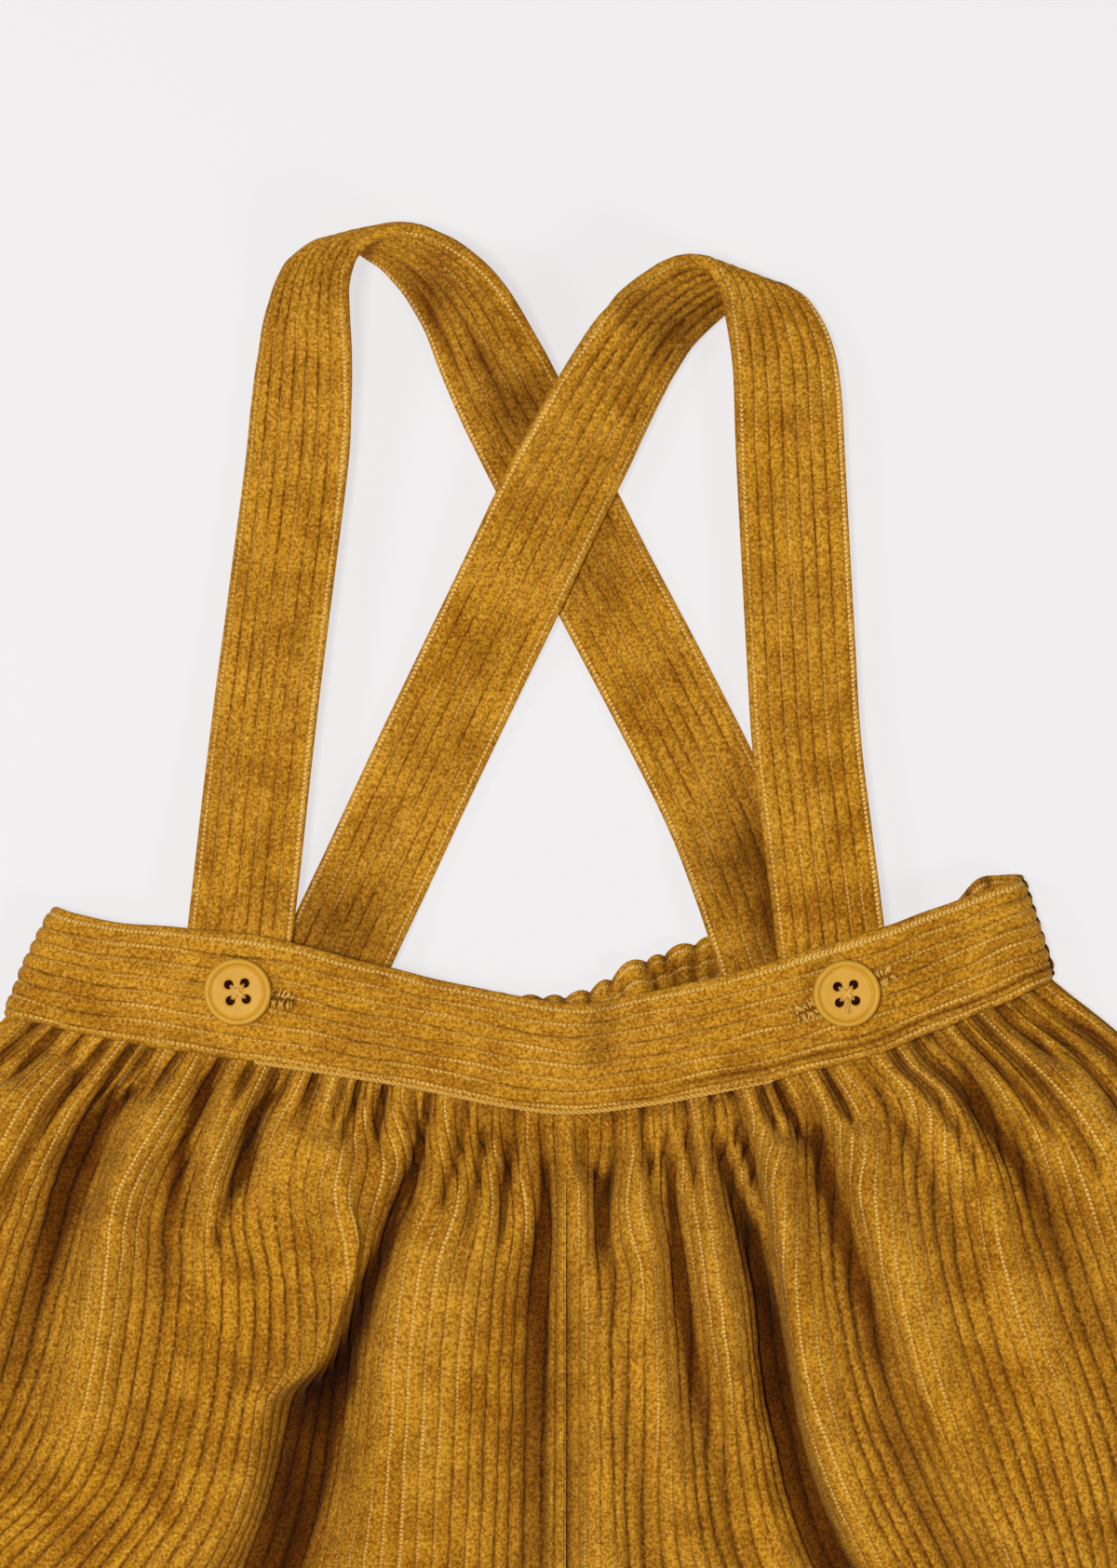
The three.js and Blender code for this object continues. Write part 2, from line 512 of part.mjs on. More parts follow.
function toSolid(geometry) {
  const bare = geometry.clone();
  bare.deleteAttribute('normal');
  bare.deleteAttribute('uv');
  const merged = mergeVertices(bare, 1e-4);
  const mesh = new wasm.Mesh({
    numProp: 3,
    vertProperties: new Float32Array(merged.attributes.position.array),
    triVerts: new Uint32Array(merged.index.array),
  });
  return new wasm.Manifold(mesh);
}

function fromSolid(solid) {
  const mesh = solid.getMesh();
  const geometry = new THREE.BufferGeometry();
  geometry.setAttribute('position', new THREE.BufferAttribute(mesh.vertProperties, 3));
  geometry.setIndex(new THREE.BufferAttribute(mesh.triVerts, 1));
  geometry.computeVertexNormals();
  return geometry;
}

function buttonGeometry() {
  const r = BUTTON_RADIUS;
  const h = BUTTON_HEIGHT;
  const profile = [
    [0, 0],
    [r * 0.72, 0],
    [r * 0.93, h * 0.22],
    [r, h * 0.5],
    [r * 0.985, h * 0.8],
    [r * 0.93, h],
    [r - BUTTON_RIM * 0.75, h],
    [r - BUTTON_RIM, h - BUTTON_DISH * 0.7],
    [r - BUTTON_RIM * 1.25, h - BUTTON_DISH],
    [0, h - BUTTON_DISH],
  ].map(([x, y]) => new THREE.Vector2(x, y));
  const body = new THREE.LatheGeometry(profile, 40);
  body.rotateX(Math.PI / 2);
  let solid = toSolid(body);
  for (const sx of [-1, 1]) {
    for (const sy of [-1, 1]) {
      const hole = new THREE.CylinderGeometry(BUTTON_HOLE_RADIUS, BUTTON_HOLE_RADIUS, 2 * h, 12);
      hole.rotateX(Math.PI / 2);
      hole.translate((sx * BUTTON_HOLE_PITCH) / 2, (sy * BUTTON_HOLE_PITCH) / 2, h / 2);
      solid = solid.subtract(toSolid(hole));
    }
  }
  return fromSolid(solid);
}

// ---------------------------------------------------------------- the romper

const garment = new THREE.Group();
const plastic = new THREE.MeshStandardMaterial({ color: BUTTON_COLOUR, roughness: 0.35, metalness: 0 });

const frontLeft = bodyPanel(LEFT_HALF, FRONT_LEFT_FOLDS, FRONT_COLUMNS, 1, -1);
const frontRight = bodyPanel(RIGHT_HALF, FRONT_RIGHT_FOLDS, FRONT_COLUMNS, 1, 1);
const backLeft = bodyPanel(LEFT_HALF, BACK_FOLDS, BACK_COLUMNS, -1, -1);
const backRight = bodyPanel(RIGHT_HALF, BACK_FOLDS, BACK_COLUMNS, -1, 1);
const frontBand = waistband(frontBandRows, SIDE_SEAM_Z + SEAM_GAP / 2, BAND_CLOTH);
const backBand = waistband(backBandRows, SIDE_SEAM_Z - SEAM_GAP / 2, BACK_BAND_CLOTH);

garment.add(piece('front_left', frontLeft, corduroy(1)));
garment.add(piece('front_right', frontRight, corduroy(0.94)));
garment.add(piece('back_left', backLeft, corduroy(0.8)));
garment.add(piece('back_right', backRight, corduroy(0.86)));
garment.add(piece('waistband_front', frontBand, corduroy(1.08)));
garment.add(piece('waistband_back', backBand, corduroy(0.75)));
garment.add(piece('strap_left', strap(LEFT_STRAP), corduroy(1.15)));
garment.add(piece('strap_right', strap(RIGHT_STRAP), corduroy(1.04)));

for (const place of BUTTONS) {
  const button = piece(place.name, buttonGeometry(), plastic);
  const bandTop = bandAt(frontBandRows, place.x, 0.5).z + BAND_CLOTH / 2;
  button.position.set(place.x, place.y, bandTop + BUTTON_CLEARANCE);
  garment.add(button);
}

// The origin is on the surface the romper lies on, under the middle of its outline.
garment.updateMatrixWorld(true);
const outlineBox = new THREE.Box3().setFromObject(garment, true);
const middle = outlineBox.getCenter(new THREE.Vector3());
const group = new THREE.Group();
garment.position.set(-middle.x, -middle.y, -outlineBox.min.z);
group.add(garment);

export default group;
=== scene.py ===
# %% [markdown]
# # A baby romper in wide-wale corduroy
#
# The romper lies flat on its back. Its body is four gathered panels, its waistbands are folded
# strips, and two straps cross behind and loop over where the shoulders would be.
#
# A cloth simulation could drop the panels and let them crumple, but nobody can tell it where each
# fold has to lie. So every piece of cloth starts as a plain grid, and its points are moved to where
# the cloth lies, row by row. The wales (the plush ribs of corduroy) are raised on it afterwards.

import math

import bmesh
import bpy
import numpy as np
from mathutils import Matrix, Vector


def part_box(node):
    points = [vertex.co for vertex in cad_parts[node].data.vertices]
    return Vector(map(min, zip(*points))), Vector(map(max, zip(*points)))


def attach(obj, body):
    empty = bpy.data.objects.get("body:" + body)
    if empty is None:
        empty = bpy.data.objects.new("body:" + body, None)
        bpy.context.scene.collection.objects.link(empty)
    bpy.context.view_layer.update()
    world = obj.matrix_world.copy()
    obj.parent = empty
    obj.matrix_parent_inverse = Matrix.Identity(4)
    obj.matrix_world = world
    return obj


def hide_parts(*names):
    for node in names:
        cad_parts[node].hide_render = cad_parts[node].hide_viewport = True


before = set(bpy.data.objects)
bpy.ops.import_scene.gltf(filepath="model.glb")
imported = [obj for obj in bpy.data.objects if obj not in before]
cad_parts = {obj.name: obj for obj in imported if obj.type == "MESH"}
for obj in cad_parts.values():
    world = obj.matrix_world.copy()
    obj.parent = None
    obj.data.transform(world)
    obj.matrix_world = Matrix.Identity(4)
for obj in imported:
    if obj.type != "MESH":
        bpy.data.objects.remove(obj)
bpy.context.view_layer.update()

# %% [markdown]
# ## Where things are
#
# Sizes are in millimetres, and places are measured from the middle of the waist seam. A button's
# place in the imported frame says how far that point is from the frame's origin.

# %% Places and sizes
BUTTON_LEFT = (-71.5, 28.3)
BUTTON_RIGHT = (64.2, 27.9)
BUTTON_RADIUS = 7.5
WALE = 3.7  # from one groove of the corduroy to the next
RELIEF = 0.8  # depth of a groove
WAIST = 237.0  # width of the waist, laid flat
STRIP_WALES = 7  # across a waistband or a strap
STRAP_WIDTH = 24.6
STRAP_CLOTH = 3.2
BAND_HEIGHT = 24.9
BAND_CLOTH = 3.6
BACK_BAND_HEIGHT = 24.4
BACK_BAND_CLOTH = 3.2
SIDE_SEAM_Z = 4.0
SEAM_GAP = 0.15  # the front's cloth lies this far above a side seam, and the back's below it
LOWEST = 0.05  # of a strip's cloth

button_low, button_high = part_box("button_left")
in_frame = (np.array(button_low) + np.array(button_high)) / 2 * 1000
SHIFT = np.array([in_frame[0] - BUTTON_LEFT[0], in_frame[1] - BUTTON_LEFT[1], 0.0])
print("shift in mm", SHIFT.round(2))


# %% [markdown]
# ## Tables and the curves through them
#
# Outlines, paths and folds could be curve objects, but a table is easier to read and to change. It
# is a few rows of numbers with named columns. `follow` draws a smooth curve through a column. The
# curve is level wherever the rows turn back, so it never passes beyond them.

# %% Table helpers
def table(columns, *rows):
    """The columns of some rows of numbers, by name."""
    return dict(zip(columns.split(), np.array(rows, float).T))


def evenly(columns, *rows):
    """The same, with its rows numbered from 0 to 1 in one more column, `share`."""
    return {**table(columns, *rows), "share": np.linspace(0, 1, len(rows))}


def follow(rows, along, column, t):
    """Values of one column where another one, `along`, is t."""
    places, values = rows[along], rows[column]
    rise = np.diff(values)
    slope = np.empty(len(values))
    slope[0] = rise[0] / (places[1] - places[0])
    slope[-1] = rise[-1] / (places[-1] - places[-2])
    slope[1:-1] = (values[2:] - values[:-2]) / (places[2:] - places[:-2])
    slope[1:-1][rise[:-1] * rise[1:] <= 0] = 0
    t = np.asarray(t, float)
    i = np.clip(np.searchsorted(places, t, side="right") - 1, 0, len(places) - 2)
    span = places[i + 1] - places[i]
    f = (t - places[i]) / span
    g = 1 - f
    from_start = values[i] * (1 + 2 * f) * g * g + slope[i] * span * f * g * g
    from_end = values[i + 1] * (3 - 2 * f) * f * f - slope[i + 1] * span * f * f * g
    return from_start + from_end


def smooth(a, b, t):
    """A smooth step from 0, where t is a, to 1, where t is b."""
    f = np.clip((t - a) / (b - a), 0, 1)
    return f * f * (3 - 2 * f)


def mix(a, b, f):
    """Part of the way, f, from a to b."""
    return a + (b - a) * f


def bell(t):
    """1 in the middle, where t is 0, and next to nothing where t is 2."""
    return np.exp(-(t**2))


# %% The garment's tables
FRONT_BAND = evenly(
    "low_x low_y high_x high_y z",
    (-125.5, 22.6, -113.8, 47.1, 9.0),
    (-109.2, 19.2, -101.0, 44.1, 10.6),
    (-89.2, 15.8, -83.5, 42.6, 12.4),
    (-69.2, 12.6, -65.5, 40.6, 12.9),
    (-51.0, 9.9, -48.0, 36.0, 12.0),
    (-33.1, 6.9, -30.5, 31.8, 10.4),
    (-14.2, 2.9, -12.0, 28.0, 9.0),
    (2.0, 0.9, 4.0, 25.2, 8.6),
    (21.0, 3.0, 20.0, 28.0, 9.6),
    (37.7, 6.2, 36.0, 31.8, 11.6),
    (52.1, 9.2, 50.0, 35.6, 12.9),
    (66.3, 12.9, 62.5, 39.4, 12.9),
    (81.0, 18.0, 76.0, 44.0, 12.2),
    (96.5, 24.2, 89.5, 48.8, 10.8),
    (111.8, 31.0, 104.2, 54.2, 9.0),
)

BACK_BAND = evenly(
    "low_x low_y high_x high_y z",
    (-125.5, 22.6, -114.5, 46.0, 1.6),
    (-100.0, 15.5, -93.0, 39.5, 1.6),
    (-66.0, 9.0, -62.0, 33.0, 1.6),
    (-33.0, 4.6, -31.0, 27.6, 1.6),
    (0.0, 3.6, 0.0, 26.6, 1.6),
    (24.0, 10.2, 20.0, 35.0, 1.6),
    (48.0, 17.0, 44.0, 42.4, 1.6),
    (66.0, 19.0, 61.0, 43.4, 1.6),
    (82.0, 20.5, 77.0, 44.0, 1.6),
    (97.0, 24.5, 89.5, 48.2, 1.6),
    (111.8, 31.6, 104.0, 55.6, 1.6),
)

# Outlines of the two halves of the body, from the waist seam (row 0) to the hem (row 1): the side
# seam, and the centre seam that becomes the inside leg.
RIGHT_HALF = table(
    "row side_x side_y inner_x inner_y",
    (0.0, 111.8, 29.9, 1.5, 0.0),
    (0.12, 132.0, 12.5, 1.5, -25),
    (0.25, 149.0, -14, 1.5, -52),
    (0.4, 163.0, -51, 1.5, -84),
    (0.55, 172.0, -92, 1.5, -116),
    (0.7, 174.0, -131, 1.5, -148),
    (0.78, 172.0, -150, 1.5, -165),
    (0.88, 165.0, -171, 14.0, -189),
    (1.0, 152.0, -191, 33.0, -214),
)

LEFT_HALF = table(
    "row side_x side_y inner_x inner_y",
    (0.0, -125.5, 21.6, 1.5, 0.0),
    (0.12, -142.0, 5.5, 1.5, -25),
    (0.25, -155.0, -18, 1.5, -52),
    (0.4, -167.0, -54, 1.5, -84),
    (0.55, -174.0, -93, 1.5, -116),
    (0.7, -175.0, -131, 1.5, -148),
    (0.78, -173.0, -150, 1.5, -165),
    (0.88, -165.0, -171, -11.0, -189),
    (1.0, -152.0, -192, -30.0, -214),
)

STRAP_COLUMNS = "inner_x inner_y inner_z outer_x outer_y outer_z"

LEFT_STRAP = evenly(
    STRAP_COLUMNS,
    (-62.2, 20.6, 9.2, -86.6, 17.6, 8.6),
    (-59.6, 42.0, 9.0, -83.4, 38.6, 8.2),
    (-55.6, 82.0, 8.2, -78.6, 79.0, 5.0),
    (-52.6, 107.0, 8.6, -75.4, 104.4, 4.0),
    (-48.0, 141.5, 9.6, -71.0, 140.0, 3.2),
    (-46.4, 158.0, 11.6, -69.4, 157.0, 3.0),
    (-46.5, 170.0, 15.0, -67.4, 170.6, 2.8),
    (-47.2, 180.2, 18.6, -64.8, 182.6, 2.6),
    (-46.6, 188.4, 21.4, -61.6, 190.6, 2.4),
    (-43.4, 194.0, 22.6, -57.4, 194.6, 2.2),
    (-38.8, 197.0, 22.9, -52.6, 196.0, 2.1),
    (-33.6, 198.2, 22.6, -47.6, 195.6, 2.0),
    (-28.0, 197.2, 21.6, -43.2, 193.4, 2.0),
    (-20.4, 193.2, 19.4, -36.8, 188.0, 2.0),
    (-13.0, 186.4, 16.4, -30.4, 178.2, 1.9),
    (-5.2, 174.6, 10.6, -25.2, 164.6, 1.8),
    (0.6, 164.0, 6.4, -20.4, 154.2, 1.8),
    (7.6, 151.2, 2.6, -14.2, 141.2, 1.8),
    (19.4, 128.4, 1.8, -2.4, 117.4, 1.8),
    (34.6, 99.6, 1.8, 12.8, 88.6, 1.8),
    (46.4, 76.0, 1.9, 24.0, 66.2, 1.9),
    (53.2, 58.6, 5.0, 30.2, 50.6, 5.0),
    (58.2, 44.0, 5.5, 34.8, 36.6, 5.5),
    (62.0, 32.0, 5.4, 38.6, 24.6, 5.4),
)

RIGHT_STRAP = evenly(
    STRAP_COLUMNS,
    (50.4, 19.6, 9.1, 74.8, 23.6, 8.8),
    (48.8, 38.0, 9.1, 73.2, 41.6, 8.7),
    (45.8, 62.0, 8.9, 70.4, 64.6, 7.6),
    (43.4, 83.0, 7.4, 68.0, 84.6, 6.6),
    (42.1, 104.0, 6.4, 66.8, 105.0, 6.0),
    (40.0, 144.6, 6.6, 64.6, 144.4, 5.8),
    (39.0, 165.8, 8.8, 63.6, 163.6, 5.4),
    (37.8, 175.2, 12.6, 61.6, 174.2, 4.6),
    (36.6, 183.2, 18.2, 56.4, 182.8, 3.6),
    (34.4, 188.0, 20.6, 51.8, 185.4, 3.2),
    (31.4, 190.8, 21.2, 47.8, 185.4, 3.0),
    (27.8, 191.8, 20.9, 44.6, 184.8, 3.0),
    (23.8, 190.8, 20.2, 41.2, 182.9, 3.0),
    (18.6, 188.0, 19.0, 36.6, 179.4, 3.0),
    (12.2, 182.8, 17.8, 30.4, 173.4, 3.4),
    (6.9, 175.4, 16.6, 25.2, 165.8, 4.0),
    (0.6, 165.8, 14.4, 20.0, 155.6, 4.8),
    (-4.8, 157.0, 12.0, 16.0, 146.2, 5.2),
    (-13.0, 142.4, 8.6, 8.8, 131.2, 5.4),
    (-21.6, 124.4, 5.2, 0.6, 113.8, 5.5),
    (-31.4, 104.2, 2.2, -9.4, 93.4, 2.2),
    (-42.0, 82.4, 1.8, -19.6, 71.8, 1.8),
    (-52.0, 60.6, 1.9, -29.8, 50.2, 1.9),
    (-58.6, 46.4, 4.9, -36.4, 36.2, 4.9),
    (-64.2, 33.8, 5.4, -42.0, 23.6, 5.4),
    (-68.6, 23.6, 5.3, -46.6, 13.8, 5.3),
)

print(len(LEFT_STRAP["share"]), "and", len(RIGHT_STRAP["share"]), "rows place the straps")


# %% [markdown]
# ## Materials
#
# Colours are written as they look on a screen and turned into the linear values that the renderer
# works in. `node` adds one shader node, sets it, links it and hands back an output, so a material
# reads as a chain of values. A picture of corduroy would be quicker, but it can't open and close
# its grooves where this cloth bends. Noise and a count of wales can.

# %% Material helpers
SMOOTH = {"interpolation_type": "SMOOTHSTEP"}


def colour(hex_code):
    """A screen colour as linear values, with full alpha."""
    values = [int(hex_code[k : k + 2], 16) / 255 for k in (1, 3, 5)]
    linear = [v / 12.92 if v <= 0.04045 else ((v + 0.055) / 1.055) ** 2.4 for v in values]
    return (*linear, 1.0)


def node(tree, kind, *inputs, named=None, output=None, **settings):
    """Add a shader node and hand back an output: the first that it shows, or the one asked for.

    The inputs go to the sockets that the node shows, in their order, or by name in `named`.
    """
    made = tree.nodes.new("ShaderNode" + kind)
    for key, value in settings.items():
        setattr(made, key, value)
    shown = [socket for socket in made.inputs if socket.enabled]
    pairs = [*zip(shown, inputs), *((made.inputs[key], named[key]) for key in named or {})]
    for socket, value in pairs:
        if isinstance(value, bpy.types.NodeSocket):
            tree.links.new(value, socket)
        else:
            socket.default_value = value
    return made.outputs[output] if output else next(s for s in made.outputs if s.enabled)


def new_material(name, numbers):
    """A material with its plain numbers set, its node tree, its shader and where it is on a piece."""
    material = bpy.data.materials.new(name)
    material.use_nodes = True
    tree = material.node_tree
    shader = tree.nodes["Principled BSDF"]
    for key, value in numbers.items():
        shader.inputs[key].default_value = value
    print("material", name)
    return material, tree, shader, node(tree, "TexCoord", output="Object")


# %% [markdown]
# ### Corduroy
#
# Corduroy is woven with loose loops, which are cut and brushed up into wales. Between the wales the
# flat ground cloth shows. The pile drinks the light, so the finish is almost without gloss, and its
# lively look comes from tufts that lean their own ways. Where the cloth bends over a ridge, the
# grooves open and show a dotted line of pale ground threads. Where it doesn't, they are dark lines of
# painted shade. Deep folds and the shadows that parts cast are painted darker too, and fibre tips
# get painted glints.

# %% Corduroy
GROUND_STITCH = 1.05  # of the ground threads, in mm, drawn as coarse as it needs to show


def grooves_and_threads(tree, fibre, tuft):
    """How dark a groove's line of painted shade is, how much of it shows, and how much pale thread
    lies in it.
    """
    across = node(tree, "SeparateXYZ", node(tree, "UVMap", uv_map="cloth"))
    down = across.node.outputs["Y"]
    bend = node(tree, "Attribute", output="Fac", attribute_name="opened")

    # The ragged pile moves the lines a little from side to side.
    count = node(tree, "Math", tuft, 0.07, across, operation="MULTIPLY_ADD")
    count = node(tree, "Math", fibre, 0.14, count, operation="MULTIPLY_ADD")
    from_dark, from_pale = (
        node(tree, "Math", node(tree, "Math", count, aside, operation="SUBTRACT"), 0.5,
             operation="PINGPONG")
        for aside in (0.15, 0.05)
    )
    dark_line = node(tree, "MapRange", from_dark, 0.02, 0.15, 1.0, 0.0, **SMOOTH)

    # Each groove opens by its own amount, which changes along it.
    number = node(tree, "Math", across, operation="ROUND")
    own = node(tree, "CombineXYZ", number, down)
    own = node(tree, "VectorMath", own, (7.3, 0.045, 0.0), operation="MULTIPLY")
    change = node(tree, "TexNoise", own, 1.0, 2.0)
    stretched = node(tree, "Math", change, 0.8, bend, operation="MULTIPLY_ADD")
    opening = node(tree, "MapRange", stretched, 0.65, 1.35, **SMOOTH)
    closing = node(tree, "MapRange", stretched, 0.62, 1.12, 0.9, 0.25, **SMOOTH)
    worn = node(tree, "MapRange", bend, 1.0, 1.6, 0.07, 0.23, **SMOOTH)
    reach = node(tree, "Math", opening, 0.08, worn, operation="MULTIPLY_ADD")
    core = node(tree, "MapRange", from_pale, 0.02, reach, 1.0, 0.0, **SMOOTH)

    # The ground threads run in small chevrons down the groove.
    steep = -0.9 * math.tau * WALE / GROUND_STITCH
    turn = node(tree, "Math", number, 1.9, operation="MULTIPLY")
    turn = node(tree, "Math", from_pale, steep, turn, operation="MULTIPLY_ADD")
    turn = node(tree, "Math", down, math.tau / GROUND_STITCH, turn, operation="MULTIPLY_ADD")
    wave = node(tree, "Math", turn, operation="SINE")
    dash = node(tree, "MapRange", wave, -0.7, 0.35, 0.1, 1.0, **SMOOTH)
    thread = node(tree, "Math", core, dash, operation="MULTIPLY")
    return dark_line, closing, node(tree, "Math", thread, opening, operation="MULTIPLY")


def corduroy():
    """Cotton corduroy, brushed: deep plush wales that drink the light, with a faint sheen.

    The nap's patches and its fine speckle stop it from looking painted.
    """
    material, tree, shader, place = new_material("cotton corduroy, plush wales", {
        "Roughness": 0.95, "Specular IOR Level": 0.12, "Sheen Weight": 0.12,
        "Sheen Roughness": 0.45, "Sheen Tint": colour("#f2c877"),
    })
    # Sizes in mm: a fibre's and a tuft's, brought up to what shows, and those of the nap's patches.
    fibre, tuft, nap, broad = (
        node(tree, "TexNoise", place, 1000 / size, detail, roughness)
        for size, detail, roughness in (
            (0.75, 3.0, 0.7), (1.3, 2.0, 0.5), (10.0, 1.5, 0.5), (26.0, 2.0, 0.5)
        )
    )
    dark_line, closing, thread = grooves_and_threads(tree, fibre, tuft)
    brushed, patchy, lit, dotted, glinting = (
        node(tree, "MapRange", *levels, **SMOOTH)
        for levels in (
            (nap, 0.34, 0.66), (broad, 0.35, 0.65, 0.0, 0.5), (fibre, 0.34, 0.62),
            (tuft, 0.36, 0.6, 0.5, 1.0), (fibre, 0.6, 0.72, 0.0, 0.5),
        )
    )
    pile = node(tree, "Mix", lit, colour("#b39a6a"), colour("#fffdf6"), data_type="RGBA")
    shut_groove_shade = node(tree, "Math", dark_line, dotted, operation="MULTIPLY")
    shut_groove_shade = node(tree, "Math", shut_groove_shade, closing, operation="MULTIPLY")
    bare = node(tree, "Math", thread, 0.9, operation="MULTIPLY")
    painted_shade = node(tree, "Attribute", output="Fac", attribute_name="painted_shade")
    deepest_shade = node(tree, "Math", painted_shade, 1.0, operation="SUBTRACT")

    # The nap's own colour, then painted shade in closed grooves, painted glints on fibre tips, the
    # pale ground threads, and painted shade where the cloth lies low, darker still where it lies
    # lowest.
    finish = colour("#b07612")
    for factor, over, kind in (
        (brushed, colour("#d09624"), "MIX"),
        (patchy, colour("#dba234"), "MIX"),
        (1.0, pile, "MULTIPLY"),
        (shut_groove_shade, colour("#5a3304"), "MIX"),
        (glinting, colour("#eec372"), "MIX"),
        (bare, colour("#f4c76c"), "MIX"),
        (painted_shade, colour("#93793f"), "MULTIPLY"),
        (deepest_shade, colour("#846430"), "MULTIPLY"),
    ):
        finish = node(tree, "Mix", factor, finish, over, data_type="RGBA", blend_type=kind)
    tree.links.new(finish, shader.inputs["Base Color"])

    height = 0.0
    for part, amount in ((dark_line, -0.4), (thread, 0.7), (tuft, 0.4), (fibre, 0.6)):
        height = node(tree, "Math", part, amount, height, operation="MULTIPLY_ADD")
    bump = node(tree, "Bump", named={"Height": height, "Strength": 0.5, "Distance": 0.0005})
    tree.links.new(bump, shader.inputs["Normal"])
    return material


plush_corduroy = corduroy()


# %% [markdown]
# ### Plastic and thread
#
# Baby clothes have moulded polyester buttons, tumbled to a satin polish, and are sewn with spun
# polyester thread. Both are plain next to the cloth, so a little noise in colour is enough.

# %% Plastic and thread
def plastic():
    """Moulded polyester, tumbled: pale and even, with faint clouds and a soft satin gloss."""
    material, tree, shader, place = new_material(
        "moulded polyester, polished", {"Specular IOR Level": 0.22}
    )
    cloud = node(tree, "MapRange", node(tree, "TexNoise", place, 1000 / 4.0, 2.0), 0.3, 0.7, **SMOOTH)
    mixed = node(tree, "Mix", cloud, colour("#ca9428"), colour("#d19d30"), data_type="RGBA")
    tree.links.new(mixed, shader.inputs["Base Color"])
    scuff = node(tree, "TexNoise", place, 1000 / 0.8, 3.0)
    rough = node(tree, "MapRange", scuff, 0.2, 0.8, 0.42, 0.56, **SMOOTH)
    tree.links.new(rough, shader.inputs["Roughness"])
    return material


def sewing_thread():
    """Spun polyester thread: matt, a shade paler than the cloth, with a fine twist."""
    material, tree, shader, place = new_material(
        "spun polyester thread, pale", {"Roughness": 0.75, "Specular IOR Level": 0.15}
    )
    twist = node(tree, "TexNoise", place, 1000 / 0.35, 2.0)
    shade = colour("#eab550")
    in_shadow = (*(v * 0.62 for v in shade[:3]), 1.0)
    strand = node(tree, "MapRange", twist, 0.35, 0.65, **SMOOTH)
    mixed = node(tree, "Mix", strand, in_shadow, shade, data_type="RGBA")
    tree.links.new(mixed, shader.inputs["Base Color"])
    bump = node(tree, "Bump", named={"Height": twist, "Strength": 0.5, "Distance": 0.0002})
    tree.links.new(bump, shader.inputs["Normal"])
    return material


button_plastic = plastic()
pale_thread = sewing_thread()


# %% [markdown]
# ## From a net of points to a piece of cloth
#
# A net is an array of points, rows down the cloth and columns across it. `cloth` makes a grid with
# the grid operator and moves its points to the net. Two things are kept on it for the material: a
# UV map that counts wales across and millimetres along, and two values at each point. `opened` says
# how far the cloth's bend opens the grooves (1 over a ridge, 0 in a valley, and more than 1 on a
# worn edge). The other value is painted shade: it darkens the colour where the point lies low
# between its neighbours, and where painted shadow of another part falls on it.

# %% Measures on a net
def unit(v):
    """Vectors made one long."""
    return v / np.maximum(np.linalg.norm(v, axis=-1, keepdims=True), 1e-9)


def outward(net):
    """The direction out of the cloth at each point of a net, to the right of a row and down it."""
    return unit(np.cross(np.gradient(net, axis=0), np.gradient(net, axis=1)))


def lengths(net):
    """How far along the cloth each row lies."""
    step = np.linalg.norm(np.diff(net, axis=0), axis=2).mean(axis=1)
    return np.concatenate([[0], np.cumsum(step)])


def groove(count):
    """Depth of the corduroy, from 0 on top of a wale to 1 in a groove, at a count of wales."""
    away = np.abs(count - np.rint(count))
    return 0.3 * bell(away / 0.13) + 0.7 * (1 - 2 * away) ** 2.0


def blurred(values, steps, axis):
    """A running mean over 2 * steps + 1 neighbours, with the edges repeated."""
    width = [(0, 0)] * values.ndim
    width[axis] = (steps + 1, steps)
    total = np.cumsum(np.pad(values, width, mode="edge"), axis=axis)
    size = 2 * steps + 1
    above = np.take(total, range(size, total.shape[axis]), axis=axis)
    below = np.take(total, range(0, total.shape[axis] - size), axis=axis)
    return (above - below) / size


def painted_fold_shade(net, face):
    """Painted shade, by how deep each point lies among its row's neighbours, a little by its slope.

    It is 1 in an ordinary dip, and up to 2 in the few that sink furthest.
    """
    z = net[..., 2]
    sunk = blurred(blurred(z, 30, 1), 15, 1) - z
    pinched = blurred(blurred(z, 6, 1), 3, 1) - z
    slope = 1 - np.abs(face[..., 2])
    shade = smooth(0.6, 7.5, sunk) + 0.6 * smooth(0.1, 1.3, pinched) + 0.4 * slope
    return np.clip(shade, 0, 1) + smooth(5.0, 9.5, sunk)


# %% Nets into objects
def placed(name, shape, material):
    """An object at the origin from a bmesh, which is freed."""
    mesh = bpy.data.meshes.new(name)
    shape.to_mesh(mesh)
    shape.free()
    mesh.materials.append(material)
    mesh.shade_smooth()
    piece = bpy.data.objects.new(name, mesh)
    bpy.context.collection.objects.link(piece)
    print(name, sum(len(face.vertices) - 2 for face in mesh.polygons), "triangles")
    return piece


